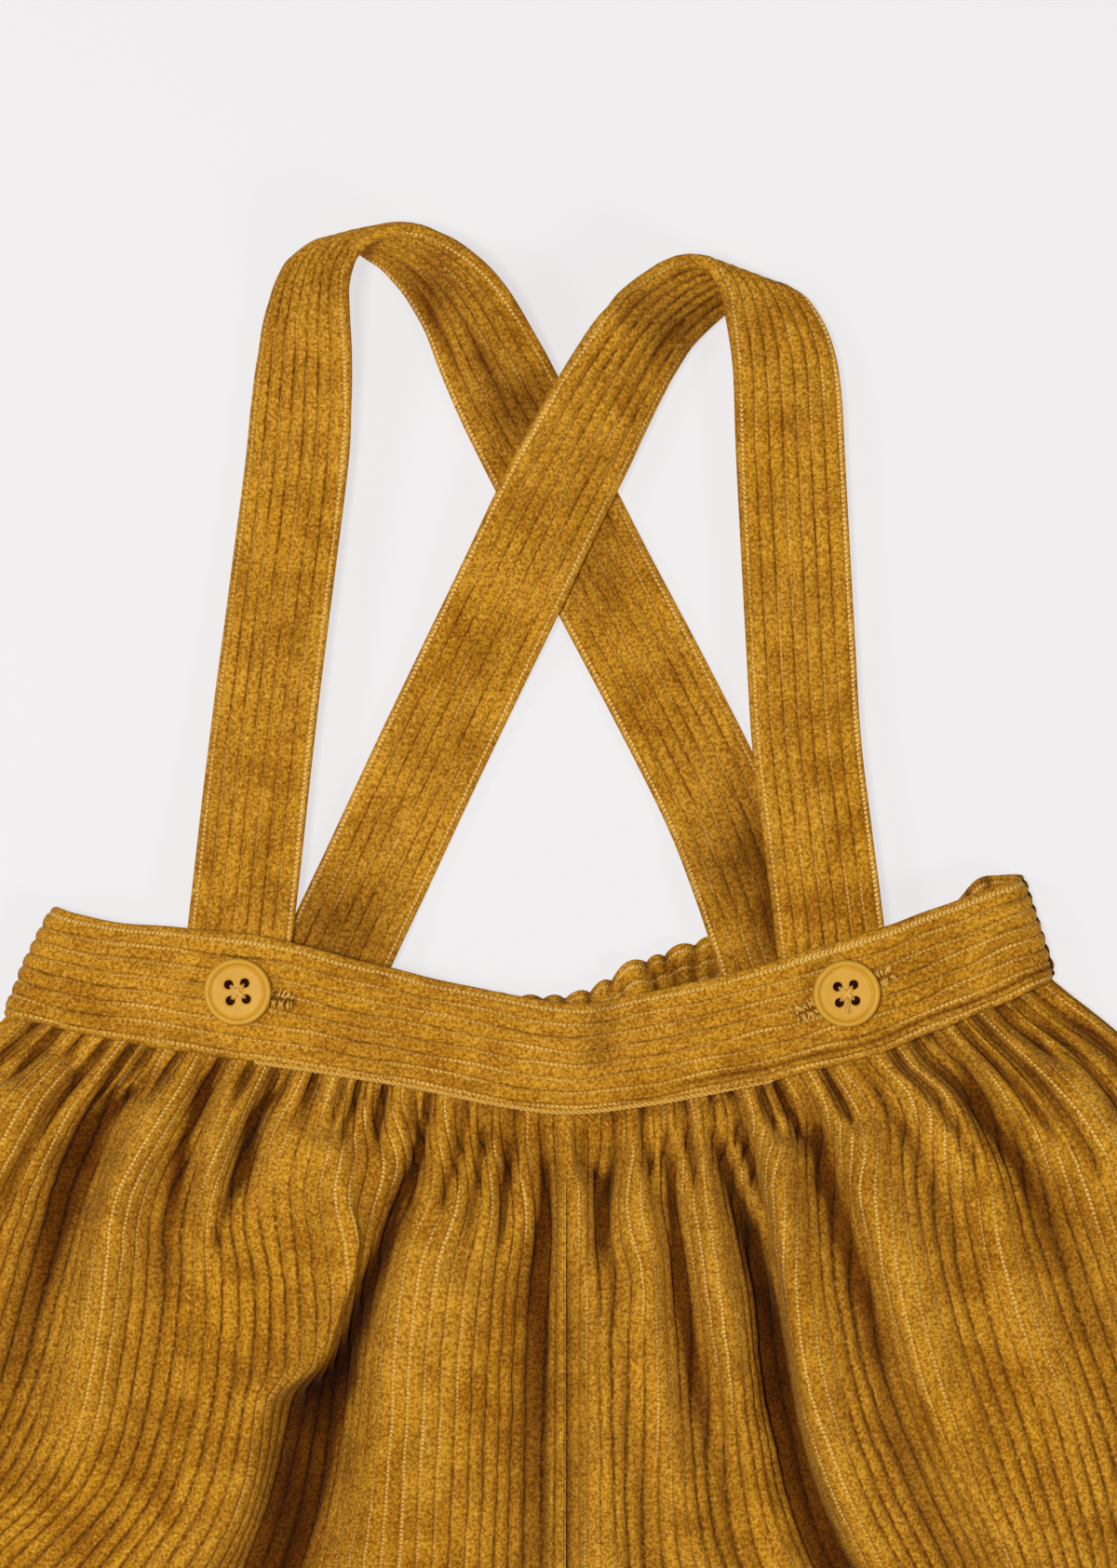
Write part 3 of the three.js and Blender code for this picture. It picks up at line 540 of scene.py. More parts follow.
def cloth(name, net, wales, along, opened, painted_shade, flipped=False):
    """A piece of corduroy from a net of points in millimetres."""
    rows, columns = net.shape[:2]
    grid = bmesh.new()
    bmesh.ops.create_grid(grid, x_segments=columns - 1, y_segments=rows - 1, size=1)
    if flipped:
        bmesh.ops.reverse_faces(grid, faces=grid.faces)
    piece = placed(name, grid, plush_corduroy)
    mesh = piece.data
    plain = np.empty(len(mesh.vertices) * 3, np.float32)
    mesh.vertices.foreach_get("co", plain)
    plain = (plain.reshape(-1, 3) + 1) / 2
    i = np.rint(plain[:, 1] * (rows - 1)).astype(int)
    j = np.rint(plain[:, 0] * (columns - 1)).astype(int)
    mesh.vertices.foreach_set("co", ((net[i, j] + SHIFT) / 1000).astype(np.float32).ravel())
    wales, along, opened, painted_shade = (
        np.broadcast_to(values, net.shape[:2])[i, j].astype(np.float32)
        for values in (wales, along, opened, painted_shade)
    )
    corner = np.empty(len(mesh.loops), np.int32)
    mesh.loops.foreach_get("vertex_index", corner)
    uv = mesh.uv_layers.new(name="cloth")
    uv.data.foreach_set("uv", np.stack([wales[corner], along[corner]], axis=1).ravel())
    for key, values in (("opened", opened), ("painted_shade", painted_shade)):
        mesh.attributes.new(key, "FLOAT", "POINT").data.foreach_set("value", values)
    mesh.update()
    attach(piece, "root")
    return piece


# %% [markdown]
# ## The body panels
#
# A panel's width is gathered into the waistband, so a row of the cloth is a wavy line much longer
# than the space it fills. Each fold is a list of knots down the panel: how far down (`row`), where
# it lies across (`at`, from the centre to the side), its height (a valley's is negative), its half
# width, and how far it leans towards the side, where it does. The wavy line is scaled until the row
# has the cloth's full width, and then the wales are spaced evenly along it.

# %% Folds of the front panels
def fold(*knots):
    """A fold's table, from knots of row, at, high and wide, and a lean where it isn't 0."""
    return table("row at high wide lean", *((*knot, 0)[:5] for knot in knots))


LEFT_FOLDS = {
    "ridge by the side": fold(
        (0, 0.80, 0.5, 5), (0.1, 0.845, 2, 11), (0.25, 0.86, 3, 15), (1, 0.87, 1, 17),
    ),
    "short crease by the side": fold(
        (0, 0.855, -2, 2.4), (0.025, 0.85, -4, 3), (0.052, 0.818, -3.5, 4), (0.088, 0.802, -2, 5),
        (0.16, 0.8, 0, 6), (1, 0.8, 0, 6),
    ),
    "long valley": fold(
        (0, 0.7, -2, 2.4), (0.05, 0.711, -4.5, 3.2), (0.09, 0.73, -7, 4.4), (0.143, 0.738, -9, 6),
        (0.2, 0.735, -9, 7.5), (0.31, 0.735, -7, 10), (0.38, 0.742, -5.5, 11),
        (0.6, 0.75, -3.5, 12), (1, 0.75, -1.2, 12),
    ),
    "ridge beside it": fold(
        (0, 0.675, 1, 4), (0.098, 0.642, 3.5, 7, 2), (0.2, 0.635, 4.5, 9, 3),
        (0.33, 0.63, 4.5, 11, 2), (0.5, 0.64, 3.5, 13), (1, 0.66, 1.2, 12),
    ),
    "second valley": fold(
        (0, 0.64, -1.5, 2.2), (0.05, 0.61, -4, 3.2), (0.118, 0.592, -5.5, 4.6),
        (0.215, 0.575, -5.5, 6), (0.302, 0.572, -4, 7), (0.392, 0.562, -2.5, 8), (1, 0.56, -0.8, 9),
    ),
    "third ridge": fold(
        (0, 0.545, 1, 3), (0.08, 0.548, 3.5, 5, 1), (0.18, 0.52, 3.5, 7), (0.312, 0.498, 3, 9),
        (0.6, 0.49, 2.5, 11), (1, 0.49, 1, 11),
    ),
    "third valley": fold(
        (0, 0.485, -2, 2), (0.018, 0.488, -4, 2.4), (0.065, 0.508, -6, 3), (0.13, 0.498, -5, 4),
        (0.178, 0.495, -3, 5), (0.3, 0.47, -1, 6), (0.5, 0.46, 0, 8), (1, 0.46, 0, 8),
    ),
    "lip over the pocket": fold(
        (0, 0.4, 1, 3), (0.12, 0.37, 3, 6, -2), (0.2, 0.365, 5, 7, -7), (0.29, 0.373, 6.5, 7.5, -6),
        (0.322, 0.382, 7, 7.5, -5), (0.36, 0.408, 7.5, 7.5, -1), (0.43, 0.418, 7.5, 8.5, -2),
        (0.52, 0.425, 7, 9, -2), (0.75, 0.43, 4, 12), (1, 0.43, 1.5, 12),
    ),
    "deep pocket": fold(
        (0, 0.27, -2, 2.2), (0.028, 0.26, -3, 2.4), (0.065, 0.24, -4, 3), (0.132, 0.26, -5.5, 3.5),
        (0.18, 0.266, -6.5, 3.6), (0.228, 0.278, -8, 4), (0.285, 0.296, -9, 4.5),
        (0.32, 0.31, -11, 5.5), (0.36, 0.338, -14, 8.5), (0.435, 0.352, -15, 9.5),
        (0.52, 0.362, -13, 9), (0.7, 0.36, -7, 9), (0.85, 0.37, -4, 10), (1, 0.37, -1.5, 10),
    ),
    "broad ridge": fold(
        (0, 0.21, 0.5, 4), (0.1, 0.205, 2.5, 9), (0.182, 0.2, 4, 12, 2), (0.295, 0.19, 5, 14, 4),
        (0.5, 0.205, 5.5, 14, 4), (0.8, 0.2, 2.5, 14), (1, 0.2, 1.2, 12),
    ),
    "short crease on it": fold(
        (0, 0.175, -2, 2), (0.055, 0.178, -4.5, 2.6), (0.103, 0.192, -4, 3.4), (0.13, 0.2, -2.5, 4),
        (0.22, 0.21, 0, 6), (1, 0.21, 0, 6),
    ),
    "centre valley": fold(
        (0, 0.035, -2, 2.4), (0.028, 0.042, -4, 3.4), (0.072, 0.032, -5, 4.4),
        (0.132, 0.034, -6, 5.4), (0.205, 0.04, -6, 6.4), (0.458, 0.045, -5.5, 8),
        (0.78, 0.05, -3, 8), (1, 0.08, 0, 8),
    ),
}

RIGHT_FOLDS = {
    "ridge beside the centre": fold(
        (0, 0.03, 0.5, 3), (0.13, 0.04, 2.5, 5), (0.255, 0.05, 4, 7), (0.458, 0.055, 4.5, 8),
        (0.78, 0.07, 2, 9), (1, 0.12, 1.2, 9),
    ),
    "first short valley": fold(
        (0, 0.1, -1.5, 2), (0.01, 0.095, -3.5, 2.4), (0.078, 0.08, -4.5, 3), (0.132, 0.065, -3, 4),
        (0.2, 0.08, -1.6, 5), (0.5, 0.105, -2, 6.5), (1, 0.12, -1, 8),
    ),
    "second ridge": fold(
        (0, 0.16, 1, 3.5), (0.143, 0.145, 3, 6), (0.27, 0.138, 3.5, 7), (0.392, 0.152, 4, 8),
        (0.5, 0.175, 4, 9), (1, 0.22, 1.2, 10),
    ),
    "second valley": fold(
        (0, 0.195, -2, 2.2), (0.012, 0.195, -3.5, 2.5), (0.07, 0.19, -5, 3.4),
        (0.148, 0.184, -5.5, 4.4), (0.318, 0.19, -4.5, 6), (0.44, 0.215, -4, 7),
        (0.6, 0.23, -2.5, 8), (1, 0.25, -0.8, 9),
    ),
    "third ridge": fold(
        (0, 0.245, 1, 3.5), (0.1, 0.235, 3, 5.5), (0.2, 0.242, 3.5, 6.5), (0.45, 0.265, 3.5, 8, 1),
        (0.8, 0.27, 2, 9), (1, 0.28, 1, 9),
    ),
    "deep valley": fold(
        (0, 0.298, -3.5, 2.2), (0.025, 0.295, -7, 2.8), (0.06, 0.287, -5.5, 3),
        (0.103, 0.287, -6, 3.4), (0.13, 0.29, -7, 3.4), (0.175, 0.3, -8, 3.8),
        (0.235, 0.308, -9.5, 4.6), (0.338, 0.316, -11.5, 7.5), (0.418, 0.322, -12, 9),
        (0.518, 0.335, -12, 10), (0.7, 0.34, -7, 10), (0.85, 0.35, -3.5, 10), (1, 0.35, -1.5, 10),
    ),
    "leaning ridge": fold(
        (0, 0.4, 1, 4), (0.04, 0.405, 2, 5), (0.122, 0.39, 4, 7, -2), (0.248, 0.38, 5.5, 7.5, -4),
        (0.368, 0.378, 6.5, 8, -5), (0.498, 0.385, 6.5, 9, -5), (0.7, 0.39, 4, 10, -2),
        (1, 0.4, 1.5, 10),
    ),
    "broad valley": fold(
        (0, 0.47, -1.5, 2.5), (0.052, 0.468, -4, 4), (0.098, 0.455, -5.5, 5.4),
        (0.128, 0.448, -5.5, 6), (0.17, 0.452, -5, 7), (0.258, 0.455, -3.5, 8),
        (0.32, 0.46, -2.5, 9), (0.4, 0.465, -1.5, 9), (0.55, 0.47, -1, 10), (1, 0.48, -0.5, 10),
    ),
    "low valley": fold(
        (0, 0.4, 0, 6), (0.3, 0.415, 0, 6), (0.41, 0.425, -1.5, 7), (0.488, 0.435, -2, 8),
        (0.53, 0.445, -2, 8), (0.8, 0.45, -1.5, 9), (1, 0.46, -0.8, 9),
    ),
    "edge of the broad valley": fold(
        (0, 0.52, 1, 4), (0.098, 0.512, 3, 6), (0.15, 0.508, 4.5, 7, -2), (0.275, 0.522, 5, 9, -3),
        (0.425, 0.555, 5, 11, -3), (0.518, 0.585, 5, 12, -3), (0.8, 0.6, 2.5, 13),
        (1, 0.6, 1.2, 13),
    ),
    "shallow valley": fold(
        (0, 0.6, -1.5, 2.5), (0.05, 0.6, -2.5, 4), (0.15, 0.6, -2, 5), (0.3, 0.61, -1.5, 7),
        (0.5, 0.645, -1.5, 9), (1, 0.65, -0.5, 10),
    ),
    "long ridge": fold(
        (0, 0.67, 1, 4), (0.018, 0.668, 2, 5), (0.065, 0.682, 3.5, 6, 2), (0.16, 0.67, 4, 8, 2),
        (0.27, 0.668, 4, 10), (0.6, 0.69, 3, 13), (1, 0.7, 1.2, 13),
    ),
    "valley by the side": fold(
        (0, 0.765, -2, 2.4), (0.03, 0.753, -4, 3.2), (0.062, 0.732, -5, 4.4),
        (0.105, 0.725, -5, 5.4), (0.158, 0.73, -4.5, 6.4), (0.208, 0.733, -4, 7.4),
        (0.27, 0.735, -3.5, 9), (0.4, 0.75, -2.5, 11), (1, 0.78, -1, 12),
    ),
    "ridge by the side": fold(
        (0, 0.84, 0.5, 4), (0.1, 0.83, 3, 9), (0.25, 0.85, 4, 13), (0.5, 0.87, 4, 16),
        (1, 0.86, 1, 14),
    ),
}

print(len(LEFT_FOLDS), "folds on the left and", len(RIGHT_FOLDS), "on the right")

# %% Where the front panels turn, bunch up and take painted shade
# Low down the wales turn towards the side, most of all on the left. `left` and `right` are how far
# they go, in a band of the panel around a middle and about twice a width across.
SWEEP = table(
    "row left right",
    (0, 0, 0), (0.34, 0, 0), (0.46, 5, 3), (0.56, 25, 11), (0.68, 31, 14), (1, 14, 5),
)
SWEEP_MIDDLE = {-1: 118.0, 1: 68.0}
SWEEP_WIDTH = {-1: 50.0, 1: 46.0}

# Where the wales bunch up and stand like cords, and how much the grooves close there: x, y, and the
# place's half width and half height.
BUNCHED = [
    (10, -66, 10, 38), (36, -90, 14, 18), (88, -88, 12, 22), (43, -70, 6, 30), (114, -86, 14, 22),
    (-72, -62, 12, 40), (-114, -86, 16, 18), (-90, -100, 18, 12), (-50, -46, 7, 16),
    (-10, -66, 9, 40), (-126, -28, 8, 20), (72, -70, 8, 30), (-30, -8, 5, 10), (96, -8, 8, 14),
]
# Closed grooves sink deeper and show more of their dark lines of painted shade.
BUNCHED_CLOSES = 0.55

# Painted shade in the darkest place, inside the pocket: x, y, half width, half height and amount.
POCKET_SHADE = [(-54, -62, 5, 12, 0.7), (-60, -84, 5, 16, 0.6)]

# The cloth's general height down the front, between its ridges and its valleys.
FRONT_LEVEL = table(
    "row z", (0, 12), (0.04, 14), (0.1, 14.8), (0.5, 14.6), (0.75, 12.6), (0.9, 8.8), (1, 6.8)
)


# %% Small gathers
def gathers(outline, folds, count, seed):
    """Short creases along the waist seam, uneven in spacing, depth and length."""
    random = np.random.default_rng(seed)
    width = abs(outline["side_x"][0] - outline["inner_x"][0])
    taken = [one["at"][0] for one in folds.values() if one["high"][1] < 0]
    made = []
    for k in range(count):
        at = (k + 0.5 + random.uniform(-0.28, 0.28)) / count
        if any(abs(at - other) * width < 2.3 for other in taken):
            continue
        deep = 4.8 * random.uniform(0.62, 1.0)
        reach = random.choice([0.07, 0.13, 0.21, 0.34], p=[0.25, 0.3, 0.27, 0.18])
        reach *= random.uniform(0.8, 1.2)
        wide = random.uniform(1.15, 1.9)
        drift = random.uniform(-0.012, 0.012)
        made.append(fold(
            (0, at, -deep * 0.8, wide),
            (0.018, at, -deep, wide * 1.1),
            (0.5 * reach + 0.018, at + 0.5 * drift, -deep * 0.85, wide * 1.5),
            (reach + 0.018, at + drift, 0, wide * 3),
            (1.2, at + drift, 0, wide * 3),
        ))
    return made


def fold_sum(folds, rows, share, width):
    """Height and sideways lean of all the folds together, on rows x samples."""
    high = np.zeros((len(rows), len(share)))
    lean = np.zeros_like(high)
    t = np.clip(rows, 0, 1)
    for one in folds:
        at, up, wide, over = (
            follow(one, "row", key, t)[:, None] for key in ("at", "high", "wide", "lean")
        )
        away = (share[None, :] - at) * width[:, None] / wide
        ridge = bell(away)
        sharp = np.exp(1.3 * (0.2 - np.sqrt(away**2 + 0.04)))
        crease = mix(sharp, ridge, smooth(4.0, 7.0, wide))
        high += up * np.where(up > 0, ridge, crease)
        lean += over * ridge**1.5
    return high, lean


# %% [markdown]
# ### From folds to a panel
#
# Each row of a panel has many samples from the centre to the side. They get their places from the
# outline and their heights from the folds. `lay_cloth` then sets the grid's columns along each row,
# evenly by the cloth's own length, as wales are, so a fold takes as many wales as its height needs.

# %% Where a panel lies
FRONT_CLOTH = 206.0  # width of a front panel's cloth, which is 56 wales
BACK_CLOTH = 186.0  # which is 50 wales
COLUMNS_AT = (0.0, 0.11, 0.27, 0.5, 0.73, 0.89)  # where the grid's columns lie on each wale
BACK_COLUMNS_AT = (0.0, 0.14, 0.4, 0.6, 0.86)
SAMPLES = 1300
SHARE = np.linspace(0, 1, SAMPLES)  # of the way from the centre to the side

# Rows down a panel, closer together near the gathers. They start just behind the waistband.
FRONT_ROWS = np.concatenate([
    np.linspace(-0.008, 0.24, 72)[:-1], np.linspace(0.24, 0.55, 56)[:-1], np.linspace(0.55, 1, 44)
])
BACK_ROWS = np.concatenate([np.linspace(-0.006, 0.2, 40)[:-1], np.linspace(0.2, 1, 80)])
CROTCH = (0.78, 0.86)  # rows where the centre seam ends and the inside leg begins


def wale_columns(wales, at):
    """Wale counts of the grid's columns."""
    return np.array([k + f for k in range(wales) for f in at] + [wales])


def waist_line(band, x):
    """y and z of a waistband's lower edge at x."""
    share = np.linspace(0, 1, 400)
    xs = follow(band, "share", "low_x", share)
    return (
        np.interp(x, xs, follow(band, "share", "low_y", share)),
        np.interp(x, xs, follow(band, "share", "z", share)),
    )


def panel_plane(outline, band, rows, sign, past_centre):
    """x and y on rows x samples, the waist's height, and distances from the centre and the side."""
    side_x = follow(outline, "row", "side_x", rows) - sign * 0.2
    side_y = follow(outline, "row", "side_y", rows)
    inner_x = follow(outline, "row", "inner_x", rows) + sign * past_centre
    inner_y = follow(outline, "row", "inner_y", rows)
    width = np.abs(side_x - inner_x)
    waist_x = mix(outline["inner_x"][0], outline["side_x"][0], SHARE)
    front_y, _ = waist_line(FRONT_BAND, waist_x)
    waist_y, waist_z = waist_line(band, waist_x)
    dip = waist_y - mix(front_y[0], front_y[-1], SHARE)
    x = mix(inner_x[:, None], side_x[:, None], SHARE[None, :])
    y = mix(inner_y[:, None], side_y[:, None], SHARE[None, :])
    y = y + dip[None, :] * (1 - smooth(0, 0.5, rows))[:, None]
    return x, y, waist_z, SHARE * width[:, None], (1 - SHARE) * width[:, None]


def lay_cloth(x, y, z, columns, steps):
    """A net whose columns are spaced evenly along each row's wavy line.

    The spacing is evened out over that many rows above and below, so that a wale bends gently.
    """
    step = np.sqrt(np.diff(x) ** 2 + np.diff(y) ** 2 + np.diff(z) ** 2)
    run = np.concatenate([np.zeros((len(x), 1)), np.cumsum(step, axis=1)], axis=1)
    run = blurred(blurred(run / run[:, -1:], steps, 0), steps, 0)
    sample = np.arange(x.shape[1])
    net = np.empty((len(x), len(columns), 3))
    for i, row in enumerate(run):
        place = np.interp(columns / columns[-1], row, sample)
        net[i] = np.stack([np.interp(place, sample, line[i]) for line in (x, y, z)], axis=-1)
    return net


# %% [markdown]
# ### The wales and the hem
#
# A laid panel is still smooth. Its wales wander a little, as woven ones do, and then the grooves are
# sunk into it: deep where the cloth closes them, shallow where it is stretched. At the leg the cloth
# turns round and runs back behind itself, so the hem has a real edge and a second layer.

# %% The wales and the hem
HEM_CLOTH = 2.0  # from the face of a hem to its turned-up layer
HEM_ROWS = range(2, 6)  # the rows, counted from the last, behind which that layer lies
HEM_ANGLES = (45, 90, 135, 180)


def openness(net, face, up):
    """How far a panel's grooves are opened by its bend across the wales."""
    across = np.gradient(net, axis=1)
    bend = -(np.gradient(across, axis=1) * face).sum(axis=2)
    spacing = np.linalg.norm(across, axis=2) ** 2
    bend = blurred(blurred(bend / np.maximum(spacing, 0.05), 5, 1), 2, 0)
    opened = 0.5 + 0.5 * np.tanh(bend * 7)
    if up > 0:
        for x, y, half_width, half_height in BUNCHED:
            opened = opened - BUNCHED_CLOSES * spot(net, x, y, half_width, half_height)
        opened = np.clip(opened, 0, 1)
    return opened


def spot(net, x, y, half_width, half_height):
    """A round soft spot on a net, seen from above."""
    return np.exp(-(((net[..., 0] - x) / half_width) ** 2 + ((net[..., 1] - y) / half_height) ** 2))


def turned_hem(net, face):
    """The hem's further rows: round the edge, and a little way back up behind the cloth."""
    face = unit(blurred(blurred(face, 10, 1), 5, 1))
    down = unit(blurred(net[-1:] - net[-4:-3], 10, 1))
    radius = HEM_CLOTH / 2
    turned = []
    for angle in np.radians(HEM_ANGLES):
        round_edge = down * math.sin(angle) - face[-1:] * (1 - math.cos(angle))
        turned.append(net[-1:] + radius * round_edge)
    behind = net - face * HEM_CLOTH
    return np.concatenate([*turned, *(behind[-back][None] for back in HEM_ROWS)])


def finish_panel(name, net, rows, columns, sign, seed, up):
    """Wales, painted shade and hem on a laid panel. up is 1 on the front, and -1 on the back."""
    random = np.random.default_rng(seed + 50)
    drift = blurred(blurred(random.normal(0, 1, net.shape[:2]), 9, 0), 10, 1)
    fixed = smooth(0, 4, columns) * smooth(columns[-1], columns[-1] - 4, columns)
    net[..., 0] += 4.0 * drift * fixed * mix(0.35, 1, smooth(0.05, 0.3, rows))[:, None]
    along = lengths(net)
    face = outward(net) * (sign * up)
    opened = openness(net, face, up)
    painted_shade = painted_fold_shade(net, face) if up > 0 else 0 * opened
    for *place, amount in POCKET_SHADE if up > 0 else []:
        painted_shade = np.minimum(painted_shade + amount * spot(net, *place), 2.0)
    spread = blurred(blurred(opened, 12, 1), 4, 0)
    depth = RELIEF * mix(1.35, 0.4, smooth(0.15, 0.6, spread)) * groove(columns)
    net = net - face * depth[..., None]
    hem = turned_hem(net, face)
    along = np.concatenate([along, along[-1] + np.linspace(1, 13, len(hem))])
    more = ((0, len(hem)), (0, 0))
    opened, painted_shade = np.pad(opened, more, mode="edge"), np.pad(painted_shade, more, mode="edge")
    net = np.concatenate([net, hem])
    return cloth(name, net, columns, along[:, None], opened, painted_shade, sign * up > 0)


# %% The front panels
LOW_LIMIT, LOW_EASE = 5.0, 1.5  # the lowest that a valley can sink, and how softly it gets there
HIGH, HIGH_EASE = 19, 3  # above this height a ridge is eased down


def rolled(z, from_edge, reach, seam_z, amount):
    """Height of the cloth where its edge rolls over to a seam, reach wide."""
    f = np.clip(1 - from_edge / reach, 0, 1)
    arc = np.sqrt(np.maximum(0, 1 - f * f))
    return mix(z, mix(seam_z, z, arc), np.where(f > 0, amount, 0))


def front_panel(name, outline, folds, gather_count, sign, seed):
    """A front panel. sign is -1 on the left, and 1 on the right."""
    rows = FRONT_ROWS
    x, y, waist_z, from_inner, from_side = panel_plane(outline, FRONT_BAND, rows, sign, -0.12)
    crotch = smooth(*CROTCH, rows)[:, None]
    level = follow(FRONT_LEVEL, "row", "z", rows)[:, None]
    leave = smooth(-0.01, 0.13, rows)[:, None]
    base = mix(waist_z - 0.4, level, leave)
    width = from_inner[:, -1]
    high, lean = fold_sum(folds.values(), rows, SHARE, width)
    ribs, _ = fold_sum(gathers(outline, folds, gather_count, seed), rows, SHARE, width)
    high = high * mix(0.6, 1.0, smooth(0.0, 0.1, rows))[:, None]
    high = high + ribs * mix(0.75, 1.0, smooth(-0.008, 0.02, rows))[:, None]
    centre_z = base[:, :1] - 1.2 * leave
    at_centre = smooth(5, 0, from_inner) * (1 - crotch)
    free = np.minimum(smooth(0, 9, from_side), smooth(0, 9, from_inner))

    def shaped(scale):
        """The samples, with the folds that many times their height. None is too low or high."""
        z = base + high * scale[:, None]
        near = LOW_LIMIT + LOW_EASE
        eased = LOW_EASE * np.exp((z - near) / LOW_EASE)
        z = LOW_LIMIT + np.where(z > near, z - LOW_LIMIT, eased)
        z = np.where(z < HIGH, z, HIGH + HIGH_EASE * np.tanh((z - HIGH) / HIGH_EASE))
        z = mix(z, centre_z, at_centre)
        z = rolled(z, from_side, 10.0, SIDE_SEAM_Z + SEAM_GAP, 1.0)
        z = rolled(z, from_inner, 8.0, SIDE_SEAM_Z + SEAM_GAP, crotch)
        return x + sign * lean * free * np.minimum(scale, 1.2)[:, None], y, z

    low_scale, high_scale = np.full(len(rows), 0.3), np.full(len(rows), 2.4)
    for _ in range(14):
        scale = (low_scale + high_scale) / 2
        run = np.linalg.norm(np.diff(np.stack(shaped(scale)), axis=2), axis=0).sum(axis=1)
        longer = run > FRONT_CLOTH
        high_scale = np.where(longer, scale, high_scale)
        low_scale = np.where(longer, low_scale, scale)
    print(name, "fold scale", scale[::14].round(2))
    scale = blurred(blurred(np.clip(scale, 0.55, 2.0), 4, 0), 4, 0)

    columns = wale_columns(round(FRONT_CLOTH / WALE), COLUMNS_AT)
    net = lay_cloth(*shaped(scale), columns, 9)
    out = np.abs(net[..., 0])
    room = smooth(0, 46, np.abs(x[:, -1:]) - out) * smooth(0, 20, out)
    aside = follow(SWEEP, "row", "left" if sign < 0 else "right", np.clip(rows, 0, 1))[:, None]
    aside = aside * bell((out - SWEEP_MIDDLE[sign]) / SWEEP_WIDTH[sign]) * room
    net[..., 0] += sign * aside
    return finish_panel(name, net, rows, columns, sign, seed, up=1)


front_left = front_panel("body_front_left", LEFT_HALF, LEFT_FOLDS, 24, -1, 11)
front_right = front_panel("body_front_right", RIGHT_HALF, RIGHT_FOLDS, 22, 1, 23)
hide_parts("front_left")
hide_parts("front_right")


# %% [markdown]
# ## The back panels
#
# They carry the romper, so their wales rest on the surface, with shallow hollow folds between. They
# could be flat, since nobody looks under a romper, but their gathers show below the back waistband.

# %% The back panels
def back_folds(random):
    """Gathers below the elastic, and a few long shallow folds."""
    folds = []
    for k in range(26):
        at = (k + 0.5 + random.uniform(-0.25, 0.25)) / 26
        reach = random.choice([0.08, 0.14, 0.3, 0.7], p=[0.35, 0.3, 0.2, 0.15])
        deep = random.uniform(1.5, 2.5)
        wide = random.uniform(1.3, 1.9)
        folds.append(fold(
            (0, at, deep, wide),
            (0.4 * reach, at, deep * 0.85, wide * 1.5),
            (reach, at + random.uniform(-0.01, 0.01), 0, wide * 2.5),
            (1.1, at, 0, wide * 3),
        ))
    for at in (0.17, 0.31, 0.46, 0.6, 0.75, 0.9):
        tall = random.uniform(1.6, 2.4)
        folds.append(fold(
            (0, at, 0.6, 4),
            (0.3, at + random.uniform(-0.015, 0.015), tall, random.uniform(5, 8)),
            (0.7, at + random.uniform(-0.015, 0.015), tall * 0.8, random.uniform(6, 9)),
            (1, at, 0.5, 8),
        ))
    return folds


def turned_up(from_edge):
    """How far the cloth's edge turns up towards a seam."""
    f = np.clip(1 - from_edge / 4.4, 0, 1)
    return (SIDE_SEAM_Z - SEAM_GAP) * (1 - np.sqrt(np.maximum(0, 1 - f * f)))


def back_panel(name, outline, sign, seed):
    """A back panel. sign is -1 on the left, and 1 on the right."""
    rows = BACK_ROWS
    x, y, _, from_inner, from_side = panel_plane(outline, BACK_BAND, rows, sign, 0.1)
    folds = back_folds(np.random.default_rng(seed))
    high, _ = fold_sum(folds, rows, SHARE, from_inner[:, -1])
    z = 0.02 + np.minimum(high, 2.6 + 0.2 * (high - 2.6))
    z = z + turned_up(from_side) + turned_up(from_inner) * smooth(*CROTCH, rows)[:, None]
    columns = wale_columns(round(BACK_CLOTH / WALE), BACK_COLUMNS_AT)
    net = lay_cloth(x, y, z, columns, 3)
    return finish_panel(name, net, rows, columns, sign, seed, up=-1)


back_left = back_panel("body_back_left", LEFT_HALF, -1, 31)
back_right = back_panel("body_back_right", RIGHT_HALF, 1, 47)
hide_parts("back_left")
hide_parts("back_right")


# %% [markdown]
# ## Folded strips: waistbands and straps
#
# A waistband or a strap is one strip folded double, with its wales running lengthwise. A flat strip
# with a Solidify modifier would have sharp sides. Here the section goes once round instead: along
# the outer face, over one fold, back along the inner face and over the other fold. Each point of
# the section has a place across the strip and a height off its middle.

# %% The section of a folded strip
def section(height, thick, back_points):
    """Places across (from 0 to height), heights off the middle and wale counts, once round."""
    radius = thick / 2
    inset = radius * 0.85
    flat = height - 2 * inset
    turn = np.linspace(0, math.pi, 8)[1:-1]
    front = wale_columns(STRIP_WALES, COLUMNS_AT)
    back = np.linspace(0, 1, back_points)
    high_fold = STRIP_WALES + turn / math.pi
    inner_face = STRIP_WALES + 1 + back * STRIP_WALES
    low_fold = 2 * STRIP_WALES + 1 + turn / math.pi
    parts = [
        (inset + flat * front / STRIP_WALES, np.full(len(front), radius), front),
        (height - inset + inset * np.sin(turn), radius * np.cos(turn), high_fold),
        (inset + flat * (1 - back), np.full(back_points, -radius), inner_face),
        (inset - inset * np.sin(turn), -radius * np.cos(turn), low_fold),
        ([inset], [radius], [2 * STRIP_WALES + 2]),
    ]
    return [np.concatenate(values) for values in zip(*parts)]


def grooves(count, off):
    """Depth of the grooves on both faces of a folded strip, towards its middle."""
    return groove(count) * (np.abs(off) > 1.0) * np.sign(off)


